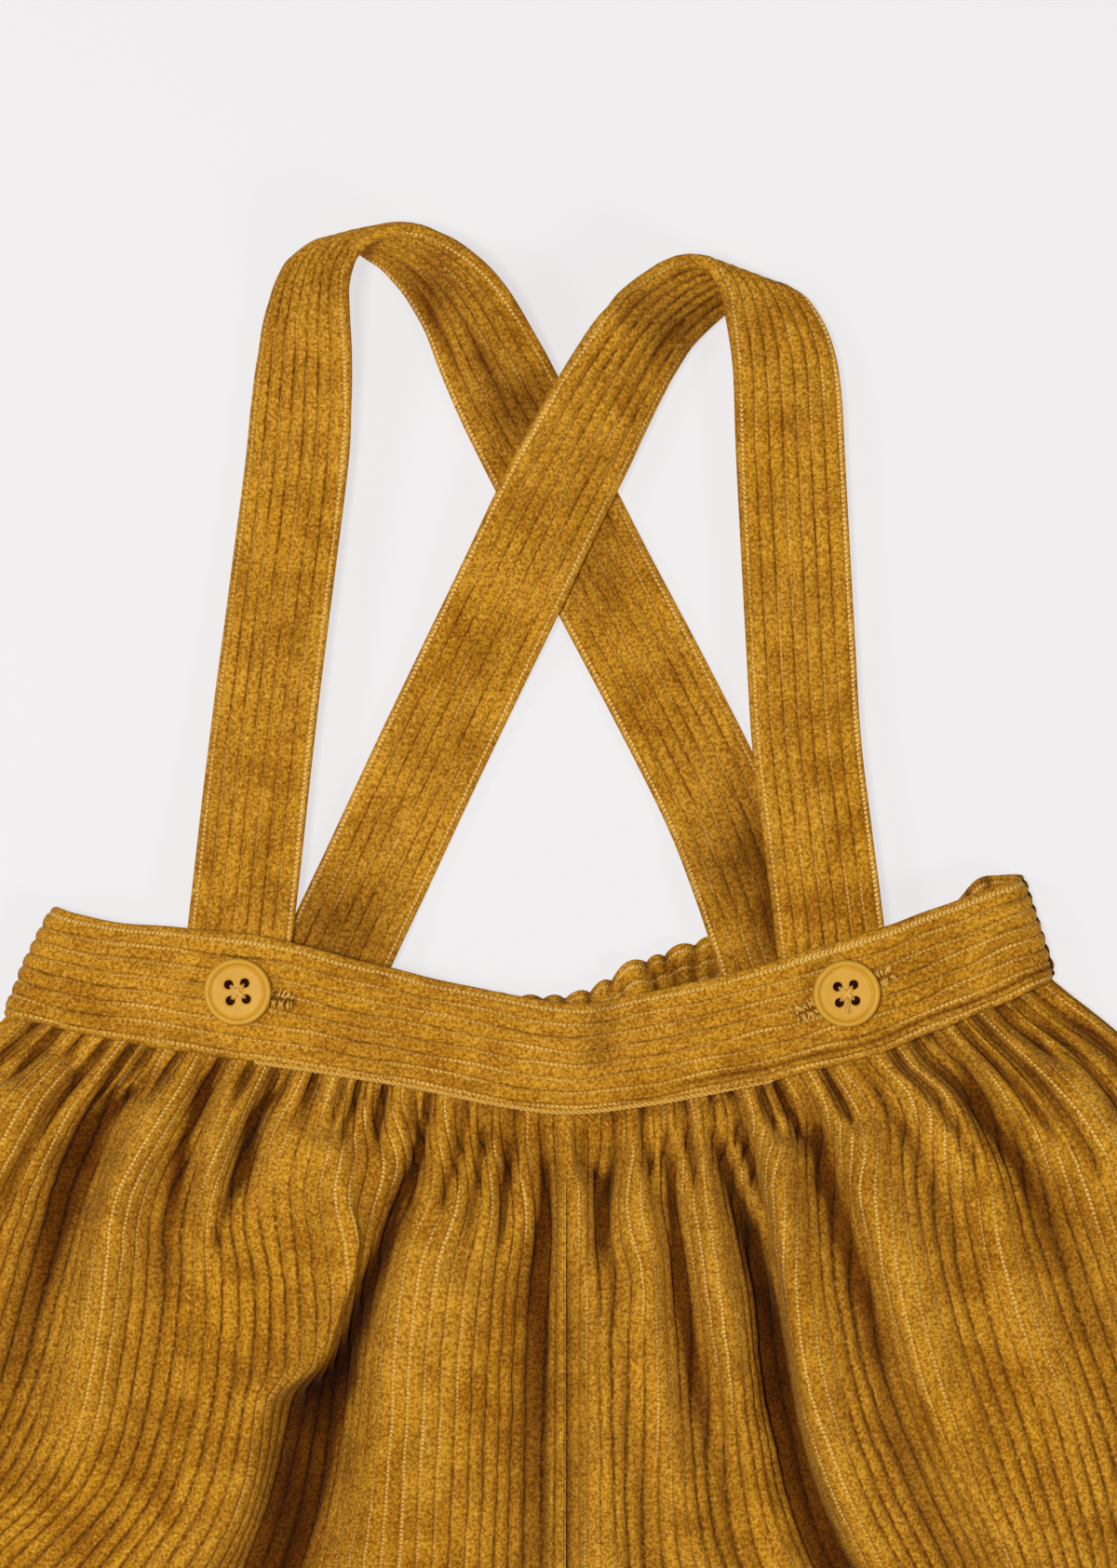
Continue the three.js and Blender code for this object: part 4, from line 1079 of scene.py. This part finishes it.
def strip_net(low, high, across, off, height, raised):
    """The net of a strip whose middle lies between two edge lines. raised is off the middle."""
    up = unit(high - low)
    tangent = unit(np.gradient((low + high) / 2, axis=0))
    normal = unit(np.cross(tangent, up))
    tall = np.linalg.norm(high - low, axis=-1)[:, None, None]
    net = low[:, None, :] + up[:, None, :] * (across / height)[None, :, None] * tall
    return net + normal[:, None, :] * (off[None, :] + raised)[..., None]


# %% Ripples
TRACKS = 8  # ripples side by side across a strip


def waves(count, seed, shortest, longest, length):
    """A smooth uneven ripple at count points along a length, from a few random sines."""
    random = np.random.default_rng(seed)
    s = np.linspace(0, length, count)
    total = np.zeros(count)
    for _ in range(7):
        size = random.uniform(shortest, longest)
        total += np.sin(math.tau * (s / size + random.uniform())) * random.uniform(0.4, 1)
    return total / 3.0


def across_strip(tracks, body):
    """Tracks along a strip, side by side, spread over the places across it, body from 0 to 1."""
    at = np.linspace(0, 1, tracks.shape[1])
    return np.stack([np.interp(body, at, row) for row in tracks])


def ripples(count, seed, shortest, longest, length, body):
    """A ripple along each track of a strip, spread over the places across it."""
    tracks = [waves(count, seed + k, shortest, longest, length) for k in range(TRACKS)]
    return across_strip(np.stack(tracks, axis=1), body)


# %% [markdown]
# ## The waistbands
#
# A waistband lies in an arc, so its middle is drawn between two edge lines, from the tables. Its
# ends roll round to the side seams. The front one is plain, with a line of stitches sunk into its
# lower edge. The back one is a casing: its elastic draws it into rounded lumps, with tight creases
# between them, and they are uneven because cloth bunches as it likes.

# %% Edges of a waistband
def band_edges(band, seam_z, share, thick, bumps=0.0):
    """Low and high edge lines of a waistband's middle, with the ends rolled to the side seams."""
    end = 0.035
    inset = thick / 2 / WAIST
    side = np.where(share < 0.5, 0.0, 1.0)
    sign = np.where(share < 0.5, 1.0, -1.0)
    distance = np.abs(side - share) / end
    turn = (1 - np.clip(distance, 0, 1)) * math.pi / 2
    rolled_in = mix(side + sign * end, side + sign * inset, np.sin(turn))
    at = np.where(distance >= 1, share, rolled_in)
    flat = np.where(distance >= 1, share, side + sign * end)
    z = mix(seam_z, follow(band, "share", "z", flat) + bumps, np.cos(turn))
    return [
        np.stack([follow(band, "share", f"{edge}_{k}", at) for k in "xy"] + [z], axis=-1)
        for edge in ("low", "high")
    ]


# %% The front waistband
STITCH_LINE = 3.3  # of the sewn line above the lower edge
STITCH = 2.8
CREASE_X = 7.5  # a crease across the band, near its middle

# Each buttonhole: its button's middle, where it starts and ends along its slit, and its angle.
BUTTONHOLES = [(BUTTON_LEFT, 5.5, 12.4, -0.17), (BUTTON_RIGHT, -12.0, 11.2, 0.42)]


def with_buttonhole_shade(net, painted_shade):
    """A waistband's painted shade, with more in the buttonholes and painted shadow under the buttons.
    """
    for middle, start, end, angle in BUTTONHOLES:
        right, up = net[..., 0] - middle[0], net[..., 1] - middle[1]
        ahead = right * math.cos(angle) + up * math.sin(angle)
        aside = up * math.cos(angle) - right * math.sin(angle)
        inside = smooth(start - 1, start, ahead) * smooth(end + 1, end, ahead)
        painted_shade = np.maximum(painted_shade, 0.8 * inside * bell(aside / 1.7))
        painted_shade = np.maximum(painted_shade, 2.0 * smooth(5.5, 4.0, np.hypot(right, up)))
    return painted_shade


def front_waistband():
    """The plain folded band: puffed, lightly rippled, with its sewn line and one crease."""
    share = np.concatenate([
        np.linspace(0, 0.04, 26)[:-1], np.linspace(0.04, 0.96, 340), np.linspace(0.96, 1, 26)[1:]
    ])
    steps = len(share)
    bumps = 0.35 * waves(steps, 3, 16, 50, WAIST)
    low, high = band_edges(FRONT_BAND, SIDE_SEAM_Z + SEAM_GAP, share, BAND_CLOTH, bumps)
    across, off, count = section(BAND_HEIGHT, BAND_CLOTH, 20)
    x = follow(FRONT_BAND, "share", "low_x", share)[:, None]
    outer_face = off > BAND_CLOTH / 2 - 1e-6
    body = np.clip(across / BAND_HEIGHT, 0, 1)
    crease = -1.5 * bell((x - CREASE_X - 2 * body) / 3.2) * smooth(0.2, 0.6, body)
    pull = 0.75 + 0.25 * np.cos(math.tau * np.linspace(0, WAIST, steps) / STITCH)[:, None]
    sunk = mix(0.35, 1.15, smooth(18, 40, x)) * pull
    raised = crease - sunk * bell((across - STITCH_LINE) / 0.4) * outer_face
    raised = raised + 0.5 * np.sin(math.pi * body) * outer_face
    raised = raised + 0.22 * ripples(steps, 60, 9, 30, WAIST, body) * outer_face
    raised = raised - RELIEF * 0.75 * grooves(count, off)
    net = strip_net(low, high, across, off, BAND_HEIGHT, raised)
    shift = ripples(steps, 90, 14, 60, WAIST, body)
    net += unit(high - low)[:, None, :] * (0.36 * shift)[..., None]
    worn_edge = bell((across - BAND_HEIGHT + 1.5) / 1.3)
    opened = 0.58 + 0.22 * shift + mix(0.4, 0.9, smooth(30, 60, x)) * worn_edge
    # Painted shade along the sunk sewn line and in the crease; the buttonholes and buttons add more.
    stitch_line_shade = bell((across - STITCH_LINE) / 0.45) * outer_face
    painted_shade = stitch_line_shade * mix(0.2, 1.1, smooth(18, 40, x))
    painted_shade = with_buttonhole_shade(net, np.clip(painted_shade - crease * 0.3, 0, 1.2))
    along = lengths(net)[:, None]
    return cloth("waistband_front_cloth", net, count, along, opened, painted_shade, True)


band_front = front_waistband()
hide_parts("waistband_front")


# %% The back waistband, shirred by its elastic
def lumps(s, seed, tracks):
    """Rounded lumps of cloth with tight creases between them, one row of them for each track."""
    random = np.random.default_rng(seed)
    creases = np.cumsum(random.uniform(3.4, 8.6, 60)) - 6
    rows = []
    for _ in range(tracks):
        own = creases + random.uniform(-2.0, 2.0, len(creases))
        k = np.clip(np.searchsorted(own, s, side="right") - 1, 0, len(own) - 2)
        gap = own[k + 1] - own[k]
        f = np.clip((s - own[k]) / gap, 0, 1)
        rows.append(np.sin(math.pi * f) ** 0.7 * (gap / 7) ** 0.8 - 0.65)
    return np.stack(rows, axis=1)


def back_waistband():
    """The casing: lumps on its outer face, and a puckered top edge that stands up at one side."""
    share = np.linspace(0, 1, 520)
    drawn = np.minimum(smooth(0.0, 0.05, share), smooth(1.0, 0.95, share))[:, None]
    low, high = band_edges(BACK_BAND, SIDE_SEAM_Z - SEAM_GAP, share, BACK_BAND_CLOTH)
    across, off, count = section(BACK_BAND_HEIGHT, BACK_BAND_CLOTH, 32)
    body = np.clip(across / BACK_BAND_HEIGHT, 0, 1)
    shirred = lumps(share * WAIST, 8, 5)
    local = across_strip(shirred, body)
    ripple = 1.25 * local * drawn
    raised = np.where(off > 0, 1.35 + 1.7 * ripple, 0.25 * ripple - 0.1) * drawn
    raised = raised - RELIEF * 0.7 * grooves(count, off)
    net = strip_net(low, high, across, off, BACK_BAND_HEIGHT, raised)
    x = follow(BACK_BAND, "share", "high_x", share)[:, None]
    top = shirred[:, 4:] + 0.3
    puckered = 1.7 * top * drawn * smooth(62, 44, x) - 1.4 * smooth(60, 74, x)
    crescent = 3.8 * bell((x - 95.5) / 5.5)
    lift = bell((across - BACK_BAND_HEIGHT) / 5) * (puckered + crescent)
    lift = lift + 1.8 * local * drawn * np.sin(math.pi * body)
    net += unit(high - low)[:, None, :] * lift[..., None]
    net[..., 2] = np.maximum(net[..., 2], LOWEST)
    along = lengths(net)[:, None] * 1.25
    opened = np.clip(0.85 + 0.5 * ripple, 0, 1.3)
    # Painted shade in the tight creases between the lumps.
    painted_shade = np.clip(0.15 - 1.1 * ripple, 0, 1.1)
    return cloth("waistband_back_cloth", net, count, along, opened, painted_shade, True)


band_back = back_waistband()
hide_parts("waistband_back")


# %% [markdown]
# ## The straps
#
# A strap runs up from its button, turns over in a loop where a shoulder would be, crosses the other
# strap and ends under the back waistband. Two lines of points, listed in a table, give its two edges,
# so it may twist as it turns. In the loop the cloth is too long on the inside of the bend, so it
# throws furrows there, and the grooves stand open along both folded edges.

# %% The straps
# Furrows along the inner face of a loop: how far along the strap, length, place across and depth.
LEFT_FURROWS = [(202, 10, 0.3, 1.3), (213, 15, 0.16, 1.2), (224, 13, 0.45, 0.9)]
RIGHT_FURROWS = [(196, 9, 0.3, 0.8)]

# Wrinkles across a strap: how far along it, length, height and where across it they start.
LEFT_WRINKLES = [(238, 3, 0.5, 0.0), (352, 2.5, -1.2, 0.0)]
RIGHT_WRINKLES = [(196, 2.5, -0.7, 0.2)]

# Where a strap is shaded by what lies over it or beside it: x, y, size and amount.
LEFT_SHADES = [
    (-8, 161, 10, 0.7), (9, 124, 10, 0.35), (44, 58, 14, 0.7), (50, 42, 9, 0.7), (-27, 184, 8, 0.5),
    (-19, 171, 7, 0.35),
]
RIGHT_SHADES = [(-49, 42, 12, 0.6), (27, 176, 9, 0.7), (17, 184, 6, 0.3)]


def strap(name, rows, seed, wrinkles, furrows, shades):
    """A folded strap between the edges that a table gives."""
    share = np.linspace(0, 1, 430)
    inner, outer = (
        np.stack([follow(rows, "share", f"{edge}_{k}", share) for k in "xyz"], axis=-1)
        for edge in ("inner", "outer")
    )
    middle = (inner + outer) / 2
    half = unit(outer - inner) * STRAP_WIDTH / 2
    run = np.concatenate([[0], np.cumsum(np.linalg.norm(np.diff(middle, axis=0), axis=1))])[:, None]
    across, off, count = section(STRAP_WIDTH, STRAP_CLOTH, 43)
    body = np.clip(across / STRAP_WIDTH, 0, 1)
    side = np.where(off >= 0, 1.0, -1.0)
    ripple = ripples(len(share), seed, 12, 40, run[-1, 0], body)
    raised = 0.45 * np.sin(math.pi * body) * side * (np.abs(off) > 1.2) + 0.16 * ripple * side
    for place, size, deep, start in wrinkles:
        raised = raised + deep * bell((run - place) / size) * smooth(start, 1.0, body)
    curled = smooth(8, 14, middle[:, 2:])
    raised = raised - RELIEF * (0.95 + 0.4 * curled) * grooves(count, off)
    # Painted shade in the furrows, and painted shadow where other parts lie over or beside the strap.
    painted_shade = np.zeros_like(raised)
    for place, size, at, deep in furrows:
        length = deep * bell((run - place) / size)
        raised = raised - side * length * bell((body - at) / 0.075)
        painted_shade += length / 2 * bell((body - at) / 0.05)
    net = strip_net(middle + half, middle - half, across, off, STRAP_WIDTH, raised)
    net[..., 2] = np.maximum(net[..., 2], LOWEST)
    for x, y, size, amount in shades:
        painted_shade += amount * spot(net, x, y, size, size)
    folds = bell(across / 1.6) + bell((across - STRAP_WIDTH) / 1.6)
    opened = 0.42 + 0.32 * ripple + 0.95 * folds
    along = lengths(net)[:, None]
    return cloth(name, net, count, along, opened, np.clip(painted_shade, 0, 1))


strap_left = strap(
    "strap_left_cloth", LEFT_STRAP, 200, LEFT_WRINKLES, LEFT_FURROWS, LEFT_SHADES
)
strap_right = strap(
    "strap_right_cloth", RIGHT_STRAP, 300, RIGHT_WRINKLES, RIGHT_FURROWS, RIGHT_SHADES
)
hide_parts("strap_left")
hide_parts("strap_right")


# %% [markdown]
# ## Threads
#
# A thread is a thin round tube along a path of points. Blender's curves make tubes too, but their
# bevel has to be turned into a mesh later, so a grid is rolled round each path instead. One object
# holds all the threads of a place.

# %% Thread helpers
def threads(name, paths, radius, sides=6):
    """Round threads along paths of points in millimetres."""
    bundle = bmesh.new()
    for path in paths:
        path = np.asarray(path, float)
        made = bmesh.ops.create_grid(bundle, x_segments=sides, y_segments=len(path) - 1, size=1)
        ahead = unit(np.gradient(path, axis=0))
        aside = unit(np.cross(ahead, np.array([0.013, 0.021, 1.0])))
        over = np.cross(aside, ahead)
        for vert in made["verts"]:
            i = round((vert.co.y + 1) / 2 * (len(path) - 1))
            turn = -(vert.co.x + 1) * math.pi
            ring = aside[i] * math.cos(turn) + over[i] * math.sin(turn)
            thin = 0.45 if i in (0, len(path) - 1) else 1.0
            vert.co = Vector((path[i] + ring * radius * thin + SHIFT) / 1000)
    bmesh.ops.remove_doubles(bundle, verts=bundle.verts, dist=1e-6)
    piece = placed(name, bundle, pale_thread)
    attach(piece, "root")
    return piece


def surface(piece):
    """The points of a piece of cloth in the tables' millimetres."""
    points = np.empty(len(piece.data.vertices) * 3, np.float32)
    piece.data.vertices.foreach_get("co", points)
    return points.reshape(-1, 3) * 1000 - SHIFT


def height_of(points, x, y):
    """The top of the cloth's points near a place."""
    near = np.hypot(points[:, 0] - x, points[:, 1] - y) < 1.1
    return points[near, 2].max() if near.any() else 10.0


# %% [markdown]
# ## Buttons
#
# A button is turned in a mould: a rolled rim, a fine ring inside it and a slightly dished face. It
# could be a profile spun round its axis, but four holes through a spun disc need cuts. So a grid is
# rounded into a disc and lifted to the profile. The faces over the four holes are taken out, their
# edges are drawn onto true circles, and every open edge is drawn down into a wall.

# %% Button disc
PROFILE = table(
    "radius z", (0, 2.2), (3, 2.24), (5.3, 2.36), (5.58, 2.3), (5.8, 2.06), (6.02, 2.36), (6.3, 2.68),
    (6.6, 2.84), (6.95, 2.88), (7.22, 2.74), (7.4, 2.44), (7.5, 2.1),
)
HOLE_RADIUS = 1.05
HOLE_AT = 1.8  # to the side of the button's middle, and above or below it
HOLES = [Vector((a * HOLE_AT, b * HOLE_AT)) for a in (-1, 1) for b in (-1, 1)]
WORN_EDGE = 0.4  # width of the rounding at a hole
OUTER_WALL_Z = 0.4  # lower ends of the walls
HOLE_WALL_Z = 0.3


def rounded_grid():
    """A disc of quads, with a true circle cut out for each hole, and its open edges."""
    disc = bmesh.new()
    bmesh.ops.create_grid(disc, x_segments=90, y_segments=90, size=1)
    for vert in disc.verts:
        u, v = vert.co.x, vert.co.y
        x = u * math.sqrt(1 - v * v / 2) * BUTTON_RADIUS
        y = v * math.sqrt(1 - u * u / 2) * BUTTON_RADIUS
        vert.co = Vector((x, y, 0))
    gone = [
        face for face in disc.faces
        if any(math.dist(face.calc_center_median()[:2], hole) < HOLE_RADIUS for hole in HOLES)
    ]
    bmesh.ops.delete(disc, geom=gone, context="FACES")
    rims = [edge for edge in disc.edges if edge.is_boundary]
    for vert in {vert for edge in rims for vert in edge.verts}:
        hole = min(HOLES, key=lambda place: math.dist(vert.co[:2], place))
        away = vert.co.xy - hole
        if away.length < 1.5 * HOLE_RADIUS:
            vert.co = (hole + away.normalized() * HOLE_RADIUS).to_3d()
    return disc, rims


def button(name, cad_name, middle, turn):
    """A button at its place, turned on its axis, and the height of its underside."""
    disc, rims = rounded_grid()
    for vert in disc.verts:
        radius = min(math.hypot(vert.co.x, vert.co.y), BUTTON_RADIUS)
        from_hole = min(math.dist(vert.co[:2], hole) for hole in HOLES) - HOLE_RADIUS
        worn = 0.16 * max(0.0, 1 - max(from_hole, 0) / WORN_EDGE) ** 2
        vert.co.z = float(follow(PROFILE, "radius", "z", radius)) - worn
    walls = bmesh.ops.extrude_edge_only(disc, edges=rims)
    for vert in walls["geom"]:
        if isinstance(vert, bmesh.types.BMVert):
            outer = math.hypot(vert.co.x, vert.co.y) > BUTTON_RADIUS - 0.2
            vert.co.z = OUTER_WALL_Z if outer else HOLE_WALL_Z
    bmesh.ops.recalc_face_normals(disc, faces=disc.faces)
    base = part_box(cad_name)[0][2] * 1000
    cos, sin = math.cos(turn), math.sin(turn)
    for vert in disc.verts:
        x, y = vert.co.x * cos - vert.co.y * sin, vert.co.x * sin + vert.co.y * cos
        place = np.array([x + middle[0], y + middle[1], vert.co.z + base])
        vert.co = Vector((place + SHIFT) / 1000)
    piece = placed(name, disc, button_plastic)
    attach(piece, "root")
    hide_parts(cad_name)
    return base


# %% The threads that hold a button
BUTTON_THREAD = 0.21  # its radius
STITCH_REACH = 2.2  # from the button's middle to a stitch's end
DOMED = 2.55  # of a stitch's middle above the button's underside


def sewn_on(name, middle, base, turn, tail=False):
    """Crossed threads from hole to hole, and with a tail, the loose ends of the last ones."""
    paths = []
    for corner in (0.25, 0.75):
        angle = corner * math.pi + turn
        ahead = np.array([math.cos(angle), math.sin(angle), 0])
        aside = np.array([-ahead[1], ahead[0], 0])
        for k in (-1, 0, 1):
            steps = np.linspace(-1, 1, 9)[:, None]
            path = ahead * steps * STITCH_REACH + aside * k * 0.3 * (1 - 0.4 * steps**2)
            path[:, 2] = (base + DOMED + 0.12 * (corner > 0.5) - 2.0 * np.abs(steps) ** 5)[:, 0]
            paths.append(path)
    for k in (0, 1) if tail else ():
        drop = np.linspace(0, 1, 7)[:, None]
        across = -0.1 + 0.3 * k + (0.4 + 0.2 * k) * drop**2
        down = -0.8 - (3.8 - 0.3 * k) * drop
        paths.append(np.hstack([across, down, base + 2.78 - 0.16 * drop]))
    return threads(name, [path + np.array([*middle, 0]) for path in paths], BUTTON_THREAD)


base_left = button("button_left_disc", "button_left", BUTTON_LEFT, 0.1)
base_right = button("button_right_disc", "button_right", BUTTON_RIGHT, 0.12)
sewn_on("button_left_thread", BUTTON_LEFT, base_left, 0.1)
sewn_on("button_right_thread", BUTTON_RIGHT, base_right, 0.12, tail=True)


# %% [markdown]
# ## Buttonholes and the cord along the waist seam
#
# A buttonhole is a slit between two rows of close stitches, frayed by use. Its button covers most
# of it. The cord is the seam's twisted thread, which shows along the waistband's lower edge. Both
# are loose threads laid on the cloth, because bump alone can't stand off it.

# %% Buttonholes
UNDER_BUTTON = 5.0  # nearer to the button's middle than this, its holes would show the stitches
STITCH_GAP = 0.52
STITCH_THREAD = 0.26  # its radius


def buttonhole(name, middle, start, end, angle, seed):
    """Uneven stitches from the slit outwards, on both its sides."""
    random = np.random.default_rng(seed)
    points = surface(band_front)
    ahead = np.array([math.cos(angle), math.sin(angle)])
    aside = np.array([-ahead[1], ahead[0]])
    paths = []
    for side in (-1, 1):
        for run in np.arange(start, end, STITCH_GAP):
            run = run + random.uniform(-0.3, 0.3)
            slant = random.uniform(-1.3, 1.3)
            lift = random.uniform(0.15, 0.7)
            path = []
            for f in np.linspace(0, 1, 5):
                off = side * mix(random.uniform(0.1, 0.6), random.uniform(1.3, 2.6), f)
                x, y = np.array(middle) + ahead * (run + slant * f) + aside * off
                rise = lift * math.sin(math.pi * f) - 0.1
                path.append((x, y, height_of(points, x, y) + rise))
            if abs(run) > UNDER_BUTTON:
                paths.append(path)
    return threads(name, paths, STITCH_THREAD, sides=5)


buttonhole("buttonhole_left", *BUTTONHOLES[0], 5)
buttonhole("buttonhole_right", *BUTTONHOLES[1], 6)


# %% The cord along the waist seam
CORD_ENDS = (-68.0, 48.0)
CORD_TWIST = 2.3
CORD_THREAD = 0.32  # its radius


def seam_cord():
    """Two twisted pale threads along the waistband's lower edge. They sink away at the ends."""
    share = np.linspace(0, 1, 1500)
    x = follow(FRONT_BAND, "share", "low_x", share)
    share = share[(x > CORD_ENDS[0]) & (x < CORD_ENDS[1])]
    x, y, z = (follow(FRONT_BAND, "share", key, share) for key in ("low_x", "low_y", "z"))
    run = x - x[0]
    ends = smooth(0, 25, run) * smooth(run[-1], run[-1] - 25, run)
    z = z + 0.45 + 0.9 * ends + 0.15 * waves(len(x), 9, 8, 30, run[-1])
    paths = []
    for phase in (0, math.pi):
        turn = math.tau * run / CORD_TWIST + phase
        paths.append(np.stack([x, y + 0.15 + 0.3 * np.cos(turn), z + 0.3 * np.sin(turn)], -1))
    return threads("waist_seam_cord", paths, CORD_THREAD)


seam_cord()


# %% [markdown]
# ## The cloth's cut
#
# What each piece was cut to before it was gathered or folded is not listed here.

print("8 pieces of cloth")


# %% [markdown]
# ## Surface, light and camera
#
# The romper lies on a white board, seen from straight above. A board that is lit only by lamps goes
# grey towards its corners, so this one glows a little. One small lamp above and to the left models
# the folds, and two weaker ones fill their shadows from the sides.

# %% Floor
def painted_board():
    """Matt painted board: almost white, a trace warm, with a faint glow that keeps it even."""
    material, tree, shader, place = new_material("matt white board", {
        "Roughness": 0.9, "Specular IOR Level": 0.1,
        "Emission Color": colour("#f0eeef"), "Emission Strength": 0.78,
    })
    faint = node(tree, "TexNoise", place, 1000 / 60.0, 2.0)
    mixed = node(tree, "Mix", faint, colour("#757374"), colour("#777576"), data_type="RGBA")
    tree.links.new(mixed, shader.inputs["Base Color"])
    return material


board = bmesh.new()
bmesh.ops.create_grid(board, x_segments=2, y_segments=2, size=3.0)
floor = placed("floor", board, painted_board())


# %% Lights
AIM = np.array([0.0, 0.06, 0.0])


def softbox(name, place, size, power):
    """A square lamp at a place in metres that points at the romper."""
    light = bpy.data.lights.new(name, "AREA")
    light.shape = "SQUARE"
    light.size = size
    light.energy = power
    lamp = bpy.data.objects.new(name, light)
    bpy.context.collection.objects.link(lamp)
    lamp.location = place
    lamp.rotation_euler = Vector(AIM - np.array(place)).to_track_quat("-Z", "Y").to_euler()
    print("lamp", name, power, "W")


softbox("key", (-0.25, 0.08, 1.45), 0.22, 14.2)
softbox("right", (1.0, -0.45, 1.0), 0.3, 6)
softbox("left", (-1.0, 0.3, 0.9), 0.3, 4.6)

world = bpy.data.worlds.new("studio")
bpy.context.scene.world = world
world.use_nodes = True
world.node_tree.nodes["Background"].inputs["Color"].default_value = (1, 1, 1, 1)
world.node_tree.nodes["Background"].inputs["Strength"].default_value = 0.1

# %% Camera
VIEW_HEIGHT = 350.8  # millimetres of the romper's plane that the picture takes in
VIEW_MIDDLE_Y = 74.6
PLANE_Z = 11.0
DISTANCE = 1300.0
SENSOR = 36.0

camera_data = bpy.data.cameras.new("camera")
camera_data.sensor_width = SENSOR
camera_data.lens = SENSOR * DISTANCE / VIEW_HEIGHT
camera = bpy.data.objects.new("camera", camera_data)
bpy.context.collection.objects.link(camera)
camera.location = (SHIFT + np.array([0.0, VIEW_MIDDLE_Y, DISTANCE + PLANE_Z])) / 1000
bpy.context.scene.camera = camera
bpy.context.scene.view_settings.view_transform = "Standard"
print("lens", round(camera_data.lens, 1), "mm")
